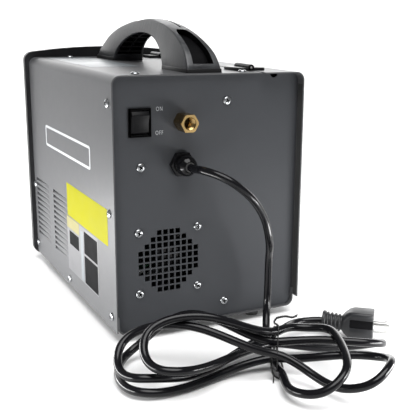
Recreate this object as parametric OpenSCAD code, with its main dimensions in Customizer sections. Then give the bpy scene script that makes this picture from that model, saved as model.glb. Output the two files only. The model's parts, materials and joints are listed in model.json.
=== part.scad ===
// Wire-feed welding power unit: sheet-metal case with a hinged side door, a moulded
// front bezel and carrying handle, a wire drive behind the door, and a tied power cord.
// X is across the case (+X is the louvred side), +Y is the rear, +Z is up.
// The origin is the middle of the footprint, on the surface that the feet stand on.

/* [Case] */
// Width of the sheet-metal case
case_w = 232; // [220:1:260]
// Height of the case, from the tray bottom to the top sheet
case_h = 290; // [284:1:320]
// Length of the case, from the rear panel to the front bezel
case_len = 350; // [344:1:400]
// Thickness of every case sheet
sheet = 1.5; // [1:0.1:2]
// Outer radius of the folded case edges
edge_r = 10; // [6:0.5:14]
// Height of the base tray's side rims
rim_h = 22; // [18:1:26]
// Distance that the cover and tray stand past the rear panel
rear_lip = 4; // [2:0.5:8]
// Distance that the side door stands past the rear panel
door_lip = 12; // [6:0.5:14]
// Gap between the side door and the fixed case
door_gap = 0.4; // [0.3:0.1:1]
// Distance from the door's hinge line to the middle of the case
hinge_x = 64; // [58:1:72]
// Height of a rubber foot
foot_h = 10; // [6:0.5:16]
// Diameter of a rubber foot
foot_d = 17.5; // [14:0.5:24]

/* [Front bezel] */
// Width of the moulded front bezel
bezel_w = 244; // [240:1:270]
// Depth of the moulded front bezel
bezel_d = 22; // [18:1:30]
// Height of the bezel's arched top above the top sheet
bezel_rise = 15; // [12:0.5:24]
// Wall thickness of the moulded bezel
bezel_wall = 3; // [2:0.25:4]

/* [Handle] */
// Distance from the rear panel to the handle
handle_rear_gap = 6; // [4:0.5:30]
// Distance from the front bezel to the handle
handle_front_gap = 27.5; // [20:0.5:60]
// Width of the carrying handle at its feet
handle_w = 42.5; // [36:0.5:50]
// Share of its width that the handle loses up to its top
handle_taper = 0.54; // [0.3:0.02:0.6]
// Height of the carrying handle above the top sheet
handle_h = 57; // [50:1:80]
// Height of the hand gap under the grip
grip_gap = 39.4; // [34:0.2:44]
// Length of the hand gap at its foot
grip_len = 170.5; // [150:0.5:180]

/* [Rear panel fittings] */
// Width of the square cooling fan
fan_size = 80; // [60:1:92]
// Depth of the cooling fan
fan_depth = 25; // [15:1:38]
// Spacing of the fan's screws
fan_pitch = 71.5; // [50:0.5:82.5]
// Spacing of the fan grille's holes
grille_pitch = 7.5; // [7:0.1:8]
// Width of one square grille hole
grille_hole = 5.9; // [4:0.1:6.4]
// Width of the power switch's frame
switch_w = 25.6; // [22:0.2:30]
// Height of the power switch's frame
switch_h = 31.4; // [28:0.2:36]
// Angle between the rocker's two positions
rocker_throw = 20; // [14:1:24]
// Width across the flats of the gas fitting
gas_flats = 19; // [17:0.5:24]
// Length of the gas fitting outside the panel
gas_len = 22; // [16:0.5:26]
// Bore of the gas fitting
gas_bore = 14.4; // [10:0.1:16]
// Width across the flats of the cable gland's body
gland_flats = 26; // [22:0.5:30]
// Diameter of the cable gland's domed nut
gland_dome = 23; // [20:0.5:26]
// Length of the cable gland outside the panel
gland_len = 26; // [22:0.5:30]

/* [Power electronics] */
// Length of the heatsink
heatsink_len = 120; // [80:1:130]
// Width of the heatsink
heatsink_w = 70; // [50:1:80]
// Height of the heatsink
heatsink_h = 55; // [40:1:58]
// Length of the circuit board
board_len = 168; // [140:1:180]
// Width of the circuit board
board_w = 88; // [80:1:92]
// Diameter of a capacitor
capacitor_d = 30; // [22:1:35]
// Height of a capacitor
capacitor_h = 45; // [30:1:60]
// Outer diameter of the choke
choke_d = 92; // [70:1:96]
// Height of the choke
choke_h = 52; // [30:1:56]

/* [Wire drive] */
// Diameter of the wire spool
spool_d = 200; // [120:1:208]
// Width of the wire spool
spool_w = 54; // [40:1:60]
// Diameter of the spool hub
hub_d = 50; // [44:1:52]
// Diameter of the drive and pressure rolls
roll_d = 30; // [24:1:36]
// Width of the drive and pressure rolls
roll_w = 12; // [8:1:14]
// Diameter of the welding wire
wire_d = 0.9; // [0.6:0.1:1.2]
// Diameter of the feed motor
motor_d = 42; // [34:1:50]
// Length of the feed motor
motor_len = 72; // [50:1:84]

/* [Front fittings] */
// Diameter of a front control knob
knob_d = 28; // [22:1:34]
// Depth of a front control knob
knob_len = 13; // [10:1:14]
// Outer diameter of an output socket
socket_d = 34; // [28:1:40]
// Bore of an output socket
socket_bore = 13; // [9:0.5:14]
// Outer diameter of the torch socket
torch_d = 38; // [32:1:42]
// Bore of the torch socket
torch_bore = 20; // [14:0.5:24]
// Distance that the torch socket stands out of the bezel
torch_proud = 14; // [13:1:20]

/* [Power cord] */
// Diameter of the power cord
cord_d = 8.8; // [7:0.1:9.2]

/* [Hidden] */
$fn = 48;

// Colours
c_shell = [0.78, 0.78, 0.77];
c_dark = [0.22, 0.23, 0.24];
c_black = [0.07, 0.07, 0.07];
c_steel = [0.72, 0.72, 0.70];
c_zinc = [0.80, 0.79, 0.74];
c_brass = [0.80, 0.63, 0.28];
c_alu = [0.80, 0.81, 0.82];
c_copper = [0.75, 0.42, 0.22];
c_board = [0.10, 0.35, 0.18];
c_rubber = [0.10, 0.10, 0.10];

// Overall places
eps = 0.01;
seat = 0.3;
rear_reach = gas_len;
front_reach = case_len + bezel_d + torch_proud;
rear_y = (front_reach - rear_reach) / 2;
inner_w = case_w - 2 * sheet;
inner_h = case_h - 2 * sheet;
inner_r = edge_r - sheet;
top_in = case_h - sheet;
front_y = -case_len;
flange_d = 18;
front_flange_d = 11;
cover_bottom = 3.5;
divider_x = -10;
divider_foot = 12;
screw_d = 4;
screw_head_d = 9.6;
screw_head_h = 2.6;

// Rear panel layout, from the middle of the case and the tray bottom
fan_x = 51.2;
fan_z = 80.6;
switch_x = 84.1;
switch_z = 239.2;
gas_x = 34.3;
gas_z = 238.3;
gland_x = 35.5;
gland_z = 191;
gland_bore = cord_d - 2;
grille_rows = [4, 6, 8, 10, 10, 10, 10, 8, 6, 4];
rear_screw_spots = [[-21, 259], [83.6, 190], [-19.5, 20]];
notch_x = -81.8;
notch_r = 5;

// Louvres on the +X side
louvre_len = 68;
louvre_pitch = 7.25;
louvre_count = 12;
louvre_open = 4.6;
louvre_deep = 5;
louvre_shallow = 0.8;
louvre_root = 0.6;
louvre_z = 35;
louvre_starts = [front_y + 102, front_y + 12];

// Cover screws: [distance from the rear panel, height]
front_screw_y = front_y + 7;
side_screw_spots = [
    [-12, 19], [-180, 12], [front_screw_y, 19], [-10, 260], [-12, 139], [front_screw_y, 108]
];
top_screw_spots = [[60, front_screw_y], [84, -11], [-46, -11]];

// Hinges
knuckle_d = 6;
hinge_pin_d = 3;
hinge_len = 36;
hinge_leaf = 17.5;
leaf_t = 2;
knuckle_len = 11.6;
knuckle_gap = (hinge_len - 3 * knuckle_len) / 2;
hinge_z = case_h + door_gap + knuckle_d / 2;
hinge_rear_y = -40;
hinge_front_y = front_y + 36;

// Door latch
latch_y = -200;
latch_z = rim_h + 14;
latch_d = 26;
latch_proud = 5;
latch_stem_d = 8;
coin_slot = 3.2;
cam_len = 24;
cam_w = 12;
cam_t = 2;
cam_clear = 0.5;
cam_inset = 2 * sheet + door_gap + cam_clear;
door_x = case_w / 2 + door_gap;
door_bottom = 13.5;

// Wire drive places
drive_face = divider_x - sheet / 2;
plate_t = 5;
plate_x = drive_face - plate_t;
feed_y = front_y + 60;
wire_z = 165;
roll_gap = 6;
roll_x = plate_x - roll_gap - roll_w / 2;
drive_z = wire_z - roll_d / 2 - wire_d / 2;
press_z = wire_z + roll_d / 2 + wire_d / 2;
shaft_d = 8;
shaft_nut = 4;
arm_pivot_y = feed_y + 34;
arm_pivot_z = press_z + 6;
arm_t = 5;
arm_w = 14;
arm_x = plate_x - seat - arm_t;
arm_end_y = feed_y - 30;
fit = 0.05;
guide_d = 7;
hub_y = -spool_d / 2 - 14;
hub_z = 150;
hub_len = spool_w + 8;
spool_clear = 3;
flange_t = 3;
hub_cap = 5;
lighten_r = spool_d * 0.36;
lighten_d = spool_d * 0.13;
spool_x = drive_face - spool_clear - spool_w / 2;
core_d = 90;
wound_d = spool_d - 56;

// Front fittings
face_y = front_y - bezel_d;
recess_d = 5;
hollow_rim = 10;
recess_rim = 25;
bore_slack = 0.5;
knob_x = bezel_w / 2 - recess_rim - knob_d / 2 - 5;
socket_x = bezel_w / 2 - recess_rim - socket_d / 2;
knob_spots = [[knob_x - 68, 218], [knob_x, 218]];
lamp_spots = [[-22, 252], [14, 252]];
socket_spots = [[socket_x - 60, 66], [socket_x, 66]];
lamp_d = 8;
boss_seat = face_y + recess_d;

// Profile helpers
module place() { translate([0, rear_y, foot_h]) children(); }

module to_rear(depth) { rotate([90, 0, 0]) linear_extrude(depth) children(); }

module along_x(width) { rotate([90, 0, 90]) linear_extrude(width) children(); }

module round_rect(w, h, r) {
    translate([r - w / 2, 0]) square([w - 2 * r, h]);
    translate([-w / 2, r]) square([w, h - 2 * r]);
    for (side = [-1, 1], z = [r, h - r])
        translate([side * (w / 2 - r), z]) circle(r);
}

module rod_x(d, len) { rotate([0, 90, 0]) cylinder(d = d, h = len); }

module rod_y(d, len) { rotate([-90, 0, 0]) cylinder(d = d, h = len); }

module pan_head() {
    crown_r = screw_head_d * 0.89;
    tail = 3;
    intersection() {
        rod_y(screw_head_d, screw_head_h);
        translate([0, screw_head_h - crown_r, 0]) sphere(crown_r);
    }
    translate([0, -sheet - tail, 0]) rod_y(screw_d, sheet + tail + eps);
}

// A smooth curve through a few points
function spline_point(a, b, c, d, t) =
    (2 * b + (c - a) * t + (2 * a - 5 * b + 4 * c - d) * t * t
        + (3 * b - a - 3 * c + d) * t * t * t) / 2;

function spline(points, steps) = [
    for (i = [0 : len(points) - 2], k = [0 : steps - 1])
        spline_point(
            i == 0 ? 2 * points[0] - points[1] : points[i - 1],
            points[i],
            points[i + 1],
            i == len(points) - 2 ? 2 * points[i + 1] - points[i] : points[i + 2],
            k / steps),
    points[len(points) - 1]
];

// Base tray and case
module tray_section() {
    difference() {
        round_rect(inner_w, case_h / 2, edge_r);
        translate([0, sheet]) round_rect(inner_w - 2 * sheet, case_h / 2, inner_r);
        translate([-case_w / 2, rim_h]) square([case_w, case_h]);
    }
}

module base_tray() {
    color(c_shell) place() difference() {
        translate([0, rear_lip, 0]) to_rear(case_len + rear_lip) tray_section();
        for (spot = side_screw_spots) side_hole(spot);
        foot_holes();
    }
}

module foot_holes() {
    for (spot = foot_spots)
        translate([spot[0], spot[1], -eps]) cylinder(d = screw_d, h = sheet + 2 * eps);
}

module side_hole(spot) {
    translate([case_w / 2 - 4 * sheet, spot[0], spot[1]]) rod_x(screw_d, 5 * sheet);
}

module top_hole(spot) {
    translate([spot[0], spot[1], case_h - 4 * sheet]) cylinder(d = screw_d, h = 5 * sheet);
}

module panel_outline() {
    difference() {
        translate([0, sheet]) round_rect(inner_w, inner_h, inner_r);
        tray_section();
        translate([0, -case_h / 2 + sheet]) square([case_w, case_h], center = true);
    }
}

module panel_hollow() {
    translate([0, 2 * sheet]) round_rect(inner_w - 4 * sheet, inner_h - 2 * sheet, inner_r - sheet);
}

// A sheet pan: its face at the back and a flange all round
module panel_pan(depth) {
    difference() {
        to_rear(depth) panel_outline();
        translate([0, -sheet, 0]) to_rear(depth) panel_hollow();
    }
}

module grille() {
    rows = len(grille_rows);
    for (row = [0 : rows - 1], col = [0 : grille_rows[row] - 1])
        translate([
            fan_x + (col - (grille_rows[row] - 1) / 2) * grille_pitch,
            0,
            fan_z + (row - (rows - 1) / 2) * grille_pitch
        ])
            cube([grille_hole, 4 * sheet, grille_hole], center = true);
}

module fan_spots() {
    for (dx = [-1, 1], dz = [-1, 1])
        translate([fan_x + dx * fan_pitch / 2, 0, fan_z + dz * fan_pitch / 2]) children();
}

module rear_panel() {
    color(c_dark) place() difference() {
        panel_pan(flange_d);
        grille();
        fan_spots() translate([0, -2 * sheet, 0]) rod_y(screw_d, 4 * sheet);
        translate([switch_x, -2 * sheet, switch_z])
            translate([-switch_body_w / 2, 0, -switch_body_h / 2])
                cube([switch_body_w, 4 * sheet, switch_body_h]);
        translate([gas_x, -2 * sheet, gas_z]) rod_y(gas_neck_d, 4 * sheet);
        translate([gland_x, -2 * sheet, gland_z]) rod_y(gland_neck_d, 4 * sheet);
        for (spot = rear_screw_spots)
            translate([spot[0], -2 * sheet, spot[1]]) rod_y(screw_d, 4 * sheet);
        translate([notch_x, -4 * sheet, top_in]) rod_y(2 * notch_r, 8 * sheet);
        for (spot = side_screw_spots) side_hole(spot);
        for (spot = top_screw_spots) top_hole(spot);
    }
}

module front_panel() {
    color(c_dark) place() difference() {
        translate([0, front_y, 0]) mirror([0, 1, 0]) panel_pan(front_flange_d);
        for (spot = side_screw_spots) side_hole(spot);
        for (spot = top_screw_spots) top_hole(spot);
        front_bores(2 * bore_slack);
    }
}

// Clearance holes for everything that passes through the front
module front_bores(slack) {
    for (spot = socket_spots) front_bore(spot, socket_neck_d + slack);
    for (spot = knob_spots) front_bore(spot, knob_stem_d + slack);
    for (spot = lamp_spots) front_bore(spot, lamp_d);
    front_bore([roll_x, wire_z], torch_neck_d + slack);
}

module front_bore(spot, d) {
    translate([spot[0], face_y - eps, spot[1]]) rod_y(d, bezel_d + 2 * sheet);
}

// Front bezel
bezel_r = 12.5;
arch_half = bezel_w / 2 - bezel_r;
arch_sag = bezel_rise * 0.47;
arch_r = (arch_half * arch_half + arch_sag * arch_sag) / (2 * arch_sag);
bezel_top = case_h + bezel_rise;
shoulder_z = bezel_top - arch_sag;
// [distance from the case, inset of the outline]
bezel_steps = [[0, 0], [9, 0], [14, 1.6], [18.5, 5], [bezel_d, 10.5]];

function arc(centre, r, from, to, steps) = [
    for (i = [0 : steps])
        let (turn = from + (to - from) * i / steps)
        centre + r * [cos(turn), sin(turn)]
];

function bezel_outline(inset) =
    let (r = max(bezel_r - inset, 2), x = bezel_w / 2 - inset - r, slope = asin(x / arch_r))
    concat(
        arc([x, inset + r], r, -90, 0, 5),
        arc([x, shoulder_z - inset - r], r, 0, 90 - slope, 5),
        arc([0, bezel_top - arch_r], arch_r - inset, 90 - 0.9 * slope, 90 + 0.9 * slope, 12),
        arc([-x, shoulder_z - inset - r], r, 90 + slope, 180, 5),
        arc([-x, inset + r], r, 180, 270, 5));

// A closed solid skinned over rings that have the same number of points
module loft(rings) {
    n = len(rings[0]);
    m = len(rings);
    points = [for (ring = rings, p = ring) p];
    polyhedron(points, concat(
        [for (k = [1 : n - 2]) [0, k + 1, k]],
        [for (k = [1 : n - 2]) [(m - 1) * n, (m - 1) * n + k, (m - 1) * n + k + 1]],
        [for (i = [0 : m - 2], k = [0 : n - 1])
            [i * n + k, i * n + (k + 1) % n, (i + 1) * n + (k + 1) % n]],
        [for (i = [0 : m - 2], k = [0 : n - 1])
            [i * n + k, (i + 1) * n + (k + 1) % n, (i + 1) * n + k]]));
}

// Moulding hollowed from behind, with a recessed panel in its face
module bezel_shell() {
    hollow_w = bezel_w - 2 * hollow_rim;
    recess_w = bezel_w - 2 * recess_rim;
    difference() {
        loft([
            for (step = bezel_steps)
                [for (p = bezel_outline(step[1])) [p[0], front_y - step[0], p[1]]]
        ]);
        translate([0, front_y + eps, 0]) to_rear(bezel_d - bezel_wall - recess_d)
            translate([0, hollow_rim]) round_rect(hollow_w, case_h - hollow_rim, hollow_rim);
        translate([0, boss_seat, 0]) to_rear(bezel_d)
            translate([0, recess_rim]) round_rect(recess_w, case_h - 2 * recess_rim, hollow_rim);
    }
}

module front_bezel() {
    color(c_black) place() difference() {
        bezel_shell();
        front_bores(bore_slack);
    }
}

// Louvred side and top cover
module cover_outline(w, h, r) {
    round_rect(w, h, r);
    translate([w / 2 - r, 0]) square([r, h / 2]);
}

module cover_section(hinge_side) {
    difference() {
        cover_outline(case_w, case_h, edge_r);
        translate([0, sheet]) cover_outline(inner_w, inner_h, inner_r);
        translate([-case_w / 2, -eps]) square([case_w, cover_bottom]);
        translate([-case_w, -eps]) square([case_w - hinge_side, 2 * case_h]);
        translate([-case_w / 2, -eps]) square([case_w - edge_r - sheet, case_h / 2]);
    }
}

module louvre_slot(y, z) {
    translate([inner_w / 2 - sheet, y, z]) cube([4 * sheet, louvre_len, louvre_open]);
}

// A pressed blade, joined along its lower edge and its rear end, and deepest at the front
module louvre_blade(y, z) {
    x = inner_w / 2;
    function section(along, deep) = [
        [x + sheet, along, z - louvre_root], [x + sheet, along, z],
        [x + sheet - deep, along, z + louvre_open], [x - deep, along, z + louvre_open],
        [x, along, z - louvre_root]
    ];
    loft([section(y, louvre_deep), section(y + louvre_len, louvre_shallow)]);
}

module side_cover() {
    color(c_shell) place() {
        difference() {
            translate([0, rear_lip, 0]) to_rear(case_len + rear_lip)
                cover_section(hinge_x - door_gap / 2);
            for (y = louvre_starts, i = [0 : louvre_count - 1])
                louvre_slot(y, louvre_z + i * louvre_pitch);
            for (spot = side_screw_spots) side_hole(spot);
            for (spot = top_screw_spots) top_hole(spot);
        }
        for (y = louvre_starts, i = [0 : louvre_count - 1])
            louvre_blade(y, louvre_z + i * louvre_pitch);
    }
}

module divider() {
    color(c_shell) place() difference() {
        union() {
            translate([drive_face, front_y + sheet, 2 * sheet])
                cube([sheet, case_len - 2 * sheet, inner_h - 2 * sheet]);
            translate([drive_face, front_y + front_flange_d, sheet])
                cube([divider_foot, case_len - flange_d - front_flange_d, sheet + eps]);
        }
        translate([drive_face - sheet, feed_y, drive_z]) rod_x(motor_boss_d, 3 * sheet);
    }
}

// Handle
handle_x = 4;
handle_front = front_y + handle_front_gap;
handle_rear = -handle_rear_gap;
handle_round = 2.5;
rear_leg = 73.5;
gap_rear = handle_rear - rear_leg;
gap_front = gap_rear - grip_len;
handle_foot_t = 4.5;
hollow_share = 0.8;
hollow_deep = 10;
pocket_share = 0.6;
pocket_deep = 13;
pocket_span = [67, 3.5];
slot_w = 1.6;
slot_x = -4.5;
slot_span = [128, 74];

// Side view of the arch: [share of its length, share of its height]
function arch(front, rear, top, shape) =
    spline([for (p = shape) [front + p[0] * (rear - front), p[1] * top]], 3);

handle_outer = arch(handle_front, handle_rear, handle_h, [
    [0, 0], [0.03, 0.17], [0.076, 0.363], [0.141, 0.584], [0.226, 0.756], [0.336, 0.882], [0.427, 0.947],
    [0.55, 1], [0.66, 0.94], [0.76, 0.842], [0.862, 0.667], [0.949, 0.421], [0.99, 0.17], [1, 0]
]);
handle_inner = arch(gap_front, gap_rear, grip_gap, [
    [0, 0], [0.012, 0.1], [0.026, 0.228], [0.065, 0.42], [0.147, 0.64], [0.264, 0.832], [0.393, 0.954],
    [0.551, 1], [0.698, 0.944], [0.809, 0.805], [0.897, 0.609], [0.953, 0.406], [0.987, 0.178], [1, 0]
]);

// Half width at a height: the handle narrows towards its top
function handle_half(z) = handle_w / 2 * (1 - handle_taper * pow(z / handle_h, 1.5));

// Cross-section between a low and a high point, with round corners
function arch_ring(low, high, share, r) =
    let (t = norm(high - low), up = (high - low) / t, half = handle_w / 2 - r,
        flat = concat(
            arc([half, t - r], r, 0, 90, 3), arc([-half, t - r], r, 90, 180, 3),
            arc([-half, r], r, 180, 270, 3), arc([half, r], r, 270, 360, 3)))
    [
        for (p = flat)
            let (z = max(low[1] + up[1] * p[1], 0))
            [p[0] * share * handle_half(min(z, handle_h)) / (handle_w / 2), low[0] + up[0] * p[1], z]
    ];

function arch_up(i) = unit(handle_outer[i] - handle_inner[i]);

// A band along the arch, from so far under one of its lines to so far over it
module arch_band(line, kept, share, under, over) {
    loft([
        for (i = kept)
            arch_ring(line[i] - arch_up(i) * under, line[i] + arch_up(i) * over, share, 1)
    ]);
}

// Places on the arch between two distances from the rear panel
function arch_between(span) = [
    for (i = [0 : len(handle_outer) - 1])
        if (handle_outer[i][0] > handle_rear - span[0] && handle_outer[i][0] < handle_rear - span[1]) i
];

module handle_foot(from, to) {
    translate([-handle_w / 2, from, 0]) cube([handle_w, to - from, handle_foot_t]);
}

module handle() {
    count = len(handle_outer);
    crown = arch_between(slot_span);
    color(c_black) place() translate([handle_x, 0, case_h]) difference() {
        union() {
            loft([
                for (i = [0 : count - 1]) arch_ring(handle_inner[i], handle_outer[i], 1, handle_round)
            ]);
            handle_foot(gap_rear, handle_rear);
            handle_foot(handle_front, gap_front);
        }
        // the grip is hollow from below
        arch_band(handle_inner, [4 : count - 5], hollow_share, 4, hollow_deep);
        // pocket in the rear slope
        arch_band(handle_outer, arch_between(pocket_span), pocket_share, pocket_deep, 4);
        // parting slot along the crown
        translate([slot_x, 0, 0]) arch_band(handle_outer, crown, slot_w / handle_w, 2, 4);
    }
}

// Feet
foot_x = 66;
foot_rear = -15;
foot_front = front_y + 15;
foot_spots = [[foot_x, foot_rear], [-foot_x, foot_rear], [foot_x, foot_front], [-foot_x, foot_front]];

module foot(spot) {
    taper_h = foot_h * 0.4;
    color(c_rubber) place() translate([spot[0], spot[1], -foot_h]) difference() {
        union() {
            cylinder(d1 = foot_d - 2, d2 = foot_d, h = taper_h);
            translate([0, 0, taper_h]) cylinder(d = foot_d, h = foot_h - taper_h);
            translate([0, 0, foot_h - eps]) cylinder(d = screw_d, h = sheet);
        }
        translate([0, 0, -eps]) cylinder(d = foot_d / 2, h = taper_h);
    }
}

module foot_rear_left() { foot(foot_spots[0]); }
module foot_rear_right() { foot(foot_spots[1]); }
module foot_front_left() { foot(foot_spots[2]); }
module foot_front_right() { foot(foot_spots[3]); }

// Screws
module rear_screws() {
    color(c_zinc) place()
        for (spot = rear_screw_spots) translate([spot[0], 0, spot[1]]) pan_head();
}

module fan_screws() {
    color(c_zinc) place() fan_spots() pan_head();
}

module cover_screws() {
    color(c_zinc) place() {
        for (spot = side_screw_spots)
            translate([case_w / 2, spot[0], spot[1]]) rotate([0, 0, -90]) pan_head();
        for (spot = top_screw_spots)
            translate([spot[0], spot[1], case_h]) rotate([90, 0, 0]) pan_head();
    }
}

// Gas inlet and valve
gas_neck_d = gas_flats - 3;
gas_nut_t = 5;
gas_hose_d = 8;
gas_chamfer = 1.5;
gas_thread_len = 18;
gas_seat_d = 4;
valve_len = 42;
valve_w = 24;
valve_h = 20;
valve_neck = 8;
coil_d = 20;
coil_h = 28;

module gas_fitting() {
    color(c_brass) place() translate([gas_x, 0, gas_z]) difference() {
        union() {
            intersection() {
                rod_hex(gas_flats, gas_len);
                union() {
                    rod_y(gas_flats * 1.08, gas_len);
                    translate([0, gas_chamfer, 0]) rod_y(gas_flats * 1.2, gas_len - 2 * gas_chamfer);
                }
            }
            translate([0, -gas_nut_t - sheet, 0]) rod_y(gas_neck_d, gas_nut_t + sheet + eps);
            translate([0, -gas_nut_t - sheet, 0]) rod_hex(gas_flats, gas_nut_t);
        }
        translate([0, gas_len - gas_thread_len, 0]) rod_y(gas_bore, gas_len);
        translate([0, -gas_nut_t - 2 * sheet, 0]) rod_y(gas_seat_d, gas_len);
    }
}

// Hexagonal bar along +Y, with two corners across X
module rod_hex(flats, len) {
    rotate([-90, 0, 0]) cylinder(d = flats / cos(30), h = len, $fn = 6);
}

module gas_solenoid() {
    body_y = -valve_neck - valve_len;
    yoke_t = 2;
    color(c_steel) place() translate([gas_x, -sheet - gas_nut_t, gas_z]) {
        translate([0, -valve_neck, 0]) rod_y(gas_hose_d, valve_neck);
        translate([-valve_w / 2, body_y, -valve_h / 2]) cube([valve_w, valve_len, valve_h]);
        translate([0, body_y + valve_len / 2, valve_h / 2 - eps]) cylinder(d = coil_d, h = coil_h);
        translate([-valve_w / 2, body_y, valve_h / 2 - eps]) cube([valve_w, yoke_t, coil_h + yoke_t]);
    }
}

// Power switch
switch_wall = 2.4;
switch_body_w = switch_w - 2 * switch_wall + 2;
switch_body_h = switch_h - 2 * switch_wall + 1;
switch_open_w = switch_w - 2 * switch_wall;
switch_open_h = switch_h - 2 * switch_wall + 1.2;
switch_ledge = 0.9;
switch_proud = 2;
switch_depth = 22;
switch_well = 12;
rocker_slack = 0.35;
rocker_w = switch_open_w - 2 * rocker_slack;
rocker_half = switch_open_h / 2 - 1.7;
rocker_axis_y = -2;
rocker_pin_d = 3;
rocker_peak = 6.2;
rocker_dip = 4.4;
rocker_root = 5;

module switch_frame() {
    color(c_black) place() translate([switch_x, 0, switch_z]) difference() {
        union() {
            translate([-switch_w / 2, 0, -switch_h / 2]) cube([switch_w, switch_proud, switch_h]);
            translate([-switch_body_w / 2, -switch_depth, -switch_body_h / 2])
                cube([switch_body_w, switch_depth + eps, switch_body_h]);
        }
        translate([-switch_open_w / 2, -switch_well, switch_ledge - switch_open_h / 2])
            cube([switch_open_w, switch_well + 2 * switch_proud, switch_open_h - 2 * switch_ledge]);
        translate([-switch_open_w / 2, 0, -switch_open_h / 2])
            cube([switch_open_w, 2 * switch_proud, switch_open_h]);
        translate([-switch_open_w / 2 - 1, rocker_axis_y, 0])
            rod_x(rocker_pin_d + 2 * fit, switch_open_w + 2);
    }
}

// Side view of the rocker's upper half, as [out of the panel, height]
rocker_side = [
    [rocker_dip, 0], [rocker_peak, rocker_half - 1.2], [rocker_peak - 2, rocker_half],
    [-rocker_root, rocker_half - 4]
];

module rocker() {
    tip = len(rocker_side) - 1;
    color(c_black) place() translate([switch_x, rocker_axis_y, switch_z])
        rotate([-rocker_throw / 2, 0, 0]) {
            translate([-rocker_w / 2, 0, 0]) along_x(rocker_w)
                polygon(concat(rocker_side,
                    [for (i = [tip : -1 : 1]) [rocker_side[i][0], -rocker_side[i][1]]]));
            translate([-rocker_w / 2 - 1, 0, 0]) rod_x(rocker_pin_d, rocker_w + 2);
        }
}

// Cooling fan
fan_bore = fan_size - 4;
fan_hub_d = fan_size * 0.42;
fan_axle_d = 4;
strut_t = 3;
strut_w = 4;
strut_step = 0.3;
blade_count = 7;
blade_pitch = 35;
blade_t = 2;

module fan_housing() {
    color(c_black) place() translate([fan_x, -sheet - fan_depth, fan_z]) {
        difference() {
            translate([-fan_size / 2, 0, -fan_size / 2]) cube([fan_size, fan_depth, fan_size]);
            translate([0, -eps, 0]) rod_y(fan_bore, fan_depth + 2 * eps);
            for (dx = [-1, 1], dz = [-1, 1])
                translate([dx * fan_pitch / 2, -eps, dz * fan_pitch / 2])
                    rod_y(screw_d, fan_depth + 2 * eps);
        }
        rod_y(fan_hub_d, strut_t);
        rod_y(fan_axle_d, fan_depth - strut_w);
        for (turn = [45 : 90 : 315])
            rotate([0, turn, 0]) translate([fan_hub_d / 2 - 1, strut_step, -strut_w / 2])
                cube([(fan_bore - fan_hub_d) / 2 + 3, strut_t - 2 * strut_step, strut_w]);
    }
}

module fan_rotor() {
    reach = (fan_bore - fan_hub_d) / 2 - 1;
    depth = fan_depth - 2 * strut_t;
    chord = depth * 0.84;
    color(c_dark) place() translate([fan_x, strut_w - sheet - fan_depth, fan_z]) difference() {
        union() {
            rod_y(fan_hub_d, depth);
            for (i = [0 : blade_count - 1])
                rotate([0, i * 360 / blade_count, 0])
                    translate([fan_hub_d / 2 - 1, depth / 2, 0]) rotate([blade_pitch, 0, 0])
                        translate([0, -chord / 2, -blade_t / 2]) cube([reach, chord, blade_t]);
        }
        translate([0, -eps, 0]) rod_y(fan_axle_d + 2 * fit, depth - 1);
    }
}

// Power electronics, standing on the tray beside the divider
fin_count = 9;
fin_t = 2;
fin_base = 6;
heatsink_y = -sheet - fan_depth - 20 - heatsink_len;
heatsink_x = divider_x + 26;
board_t = 1.6;
board_z = sheet + heatsink_h + 5;
board_x = divider_x + 20;
board_y = -44 - board_len;
post_d = 4;
post_in = 4;
capacitor_step = 40;
choke_x = case_w / 2 - sheet - choke_d / 2 - 16;
choke_y = front_y + choke_d / 2 + 22;
choke_bore = 34;

module heatsink() {
    step = (heatsink_w - fin_t) / (fin_count - 1);
    color(c_alu) place() translate([heatsink_x, heatsink_y, sheet]) {
        for (i = [0 : fin_count - 1]) translate([i * step, 0, 0]) cube([fin_t, heatsink_len, heatsink_h]);
        translate([0, 0, heatsink_h - fin_base]) cube([heatsink_w, heatsink_len, fin_base]);
    }
}

module circuit_board() {
    color(c_board) place() translate([board_x, board_y, board_z]) cube([board_w, board_len, board_t]);
    color(c_zinc) place()
        for (x = [post_in, board_w - post_in], y = [post_in, board_len - post_in])
            translate([board_x + x, board_y + y, sheet]) cylinder(d = post_d, h = board_z - sheet);
}

module capacitors() {
    color(c_black) place()
        for (x = [0.25, 0.66], i = [0 : 2])
            translate([board_x + x * board_w, board_y + 22 + i * capacitor_step, board_z + board_t])
                cylinder(d = capacitor_d, h = capacitor_h);
}

module choke() {
    color(c_copper) place() translate([choke_x, choke_y, sheet]) difference() {
        cylinder(d = choke_d, h = choke_h);
        translate([0, 0, -eps]) cylinder(d = choke_bore, h = choke_h + 2 * eps);
    }
}

// Hinges
module knuckle(y, part) {
    start = y - hinge_len / 2 + part * (knuckle_len + knuckle_gap);
    translate([-hinge_x, start, hinge_z]) rod_y(knuckle_d, knuckle_len);
}

module leaf(y, side, rise) {
    from_x = side > 0 ? -hinge_x : -hinge_x - hinge_leaf;
    translate([from_x, y - hinge_len / 2, case_h + rise]) cube([hinge_leaf, hinge_len, leaf_t]);
}

module hinge_fixed(y) {
    difference() {
        union() {
            leaf(y, 1, 0);
            knuckle(y, 0);
            knuckle(y, 2);
            for (part = [0, 2])
                translate([-hinge_x, y - hinge_len / 2 + part * (knuckle_len + knuckle_gap), case_h])
                    cube([knuckle_d / 2, knuckle_len, door_gap + knuckle_d / 2]);
        }
        translate([-hinge_x - knuckle_d, y - knuckle_len / 2 - knuckle_gap, case_h - eps])
            cube([2 * knuckle_d, knuckle_len + 2 * knuckle_gap, 2 * knuckle_d]);
        translate([-hinge_x - knuckle_d, y - hinge_len, case_h - eps])
            cube([knuckle_d, 2 * hinge_len, door_gap + leaf_t / 4]);
        hinge_bore(y, -fit);
        for (dy = [-1, 1]) leaf_hole(1, y + dy * hinge_len / 4);
    }
}

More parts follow.
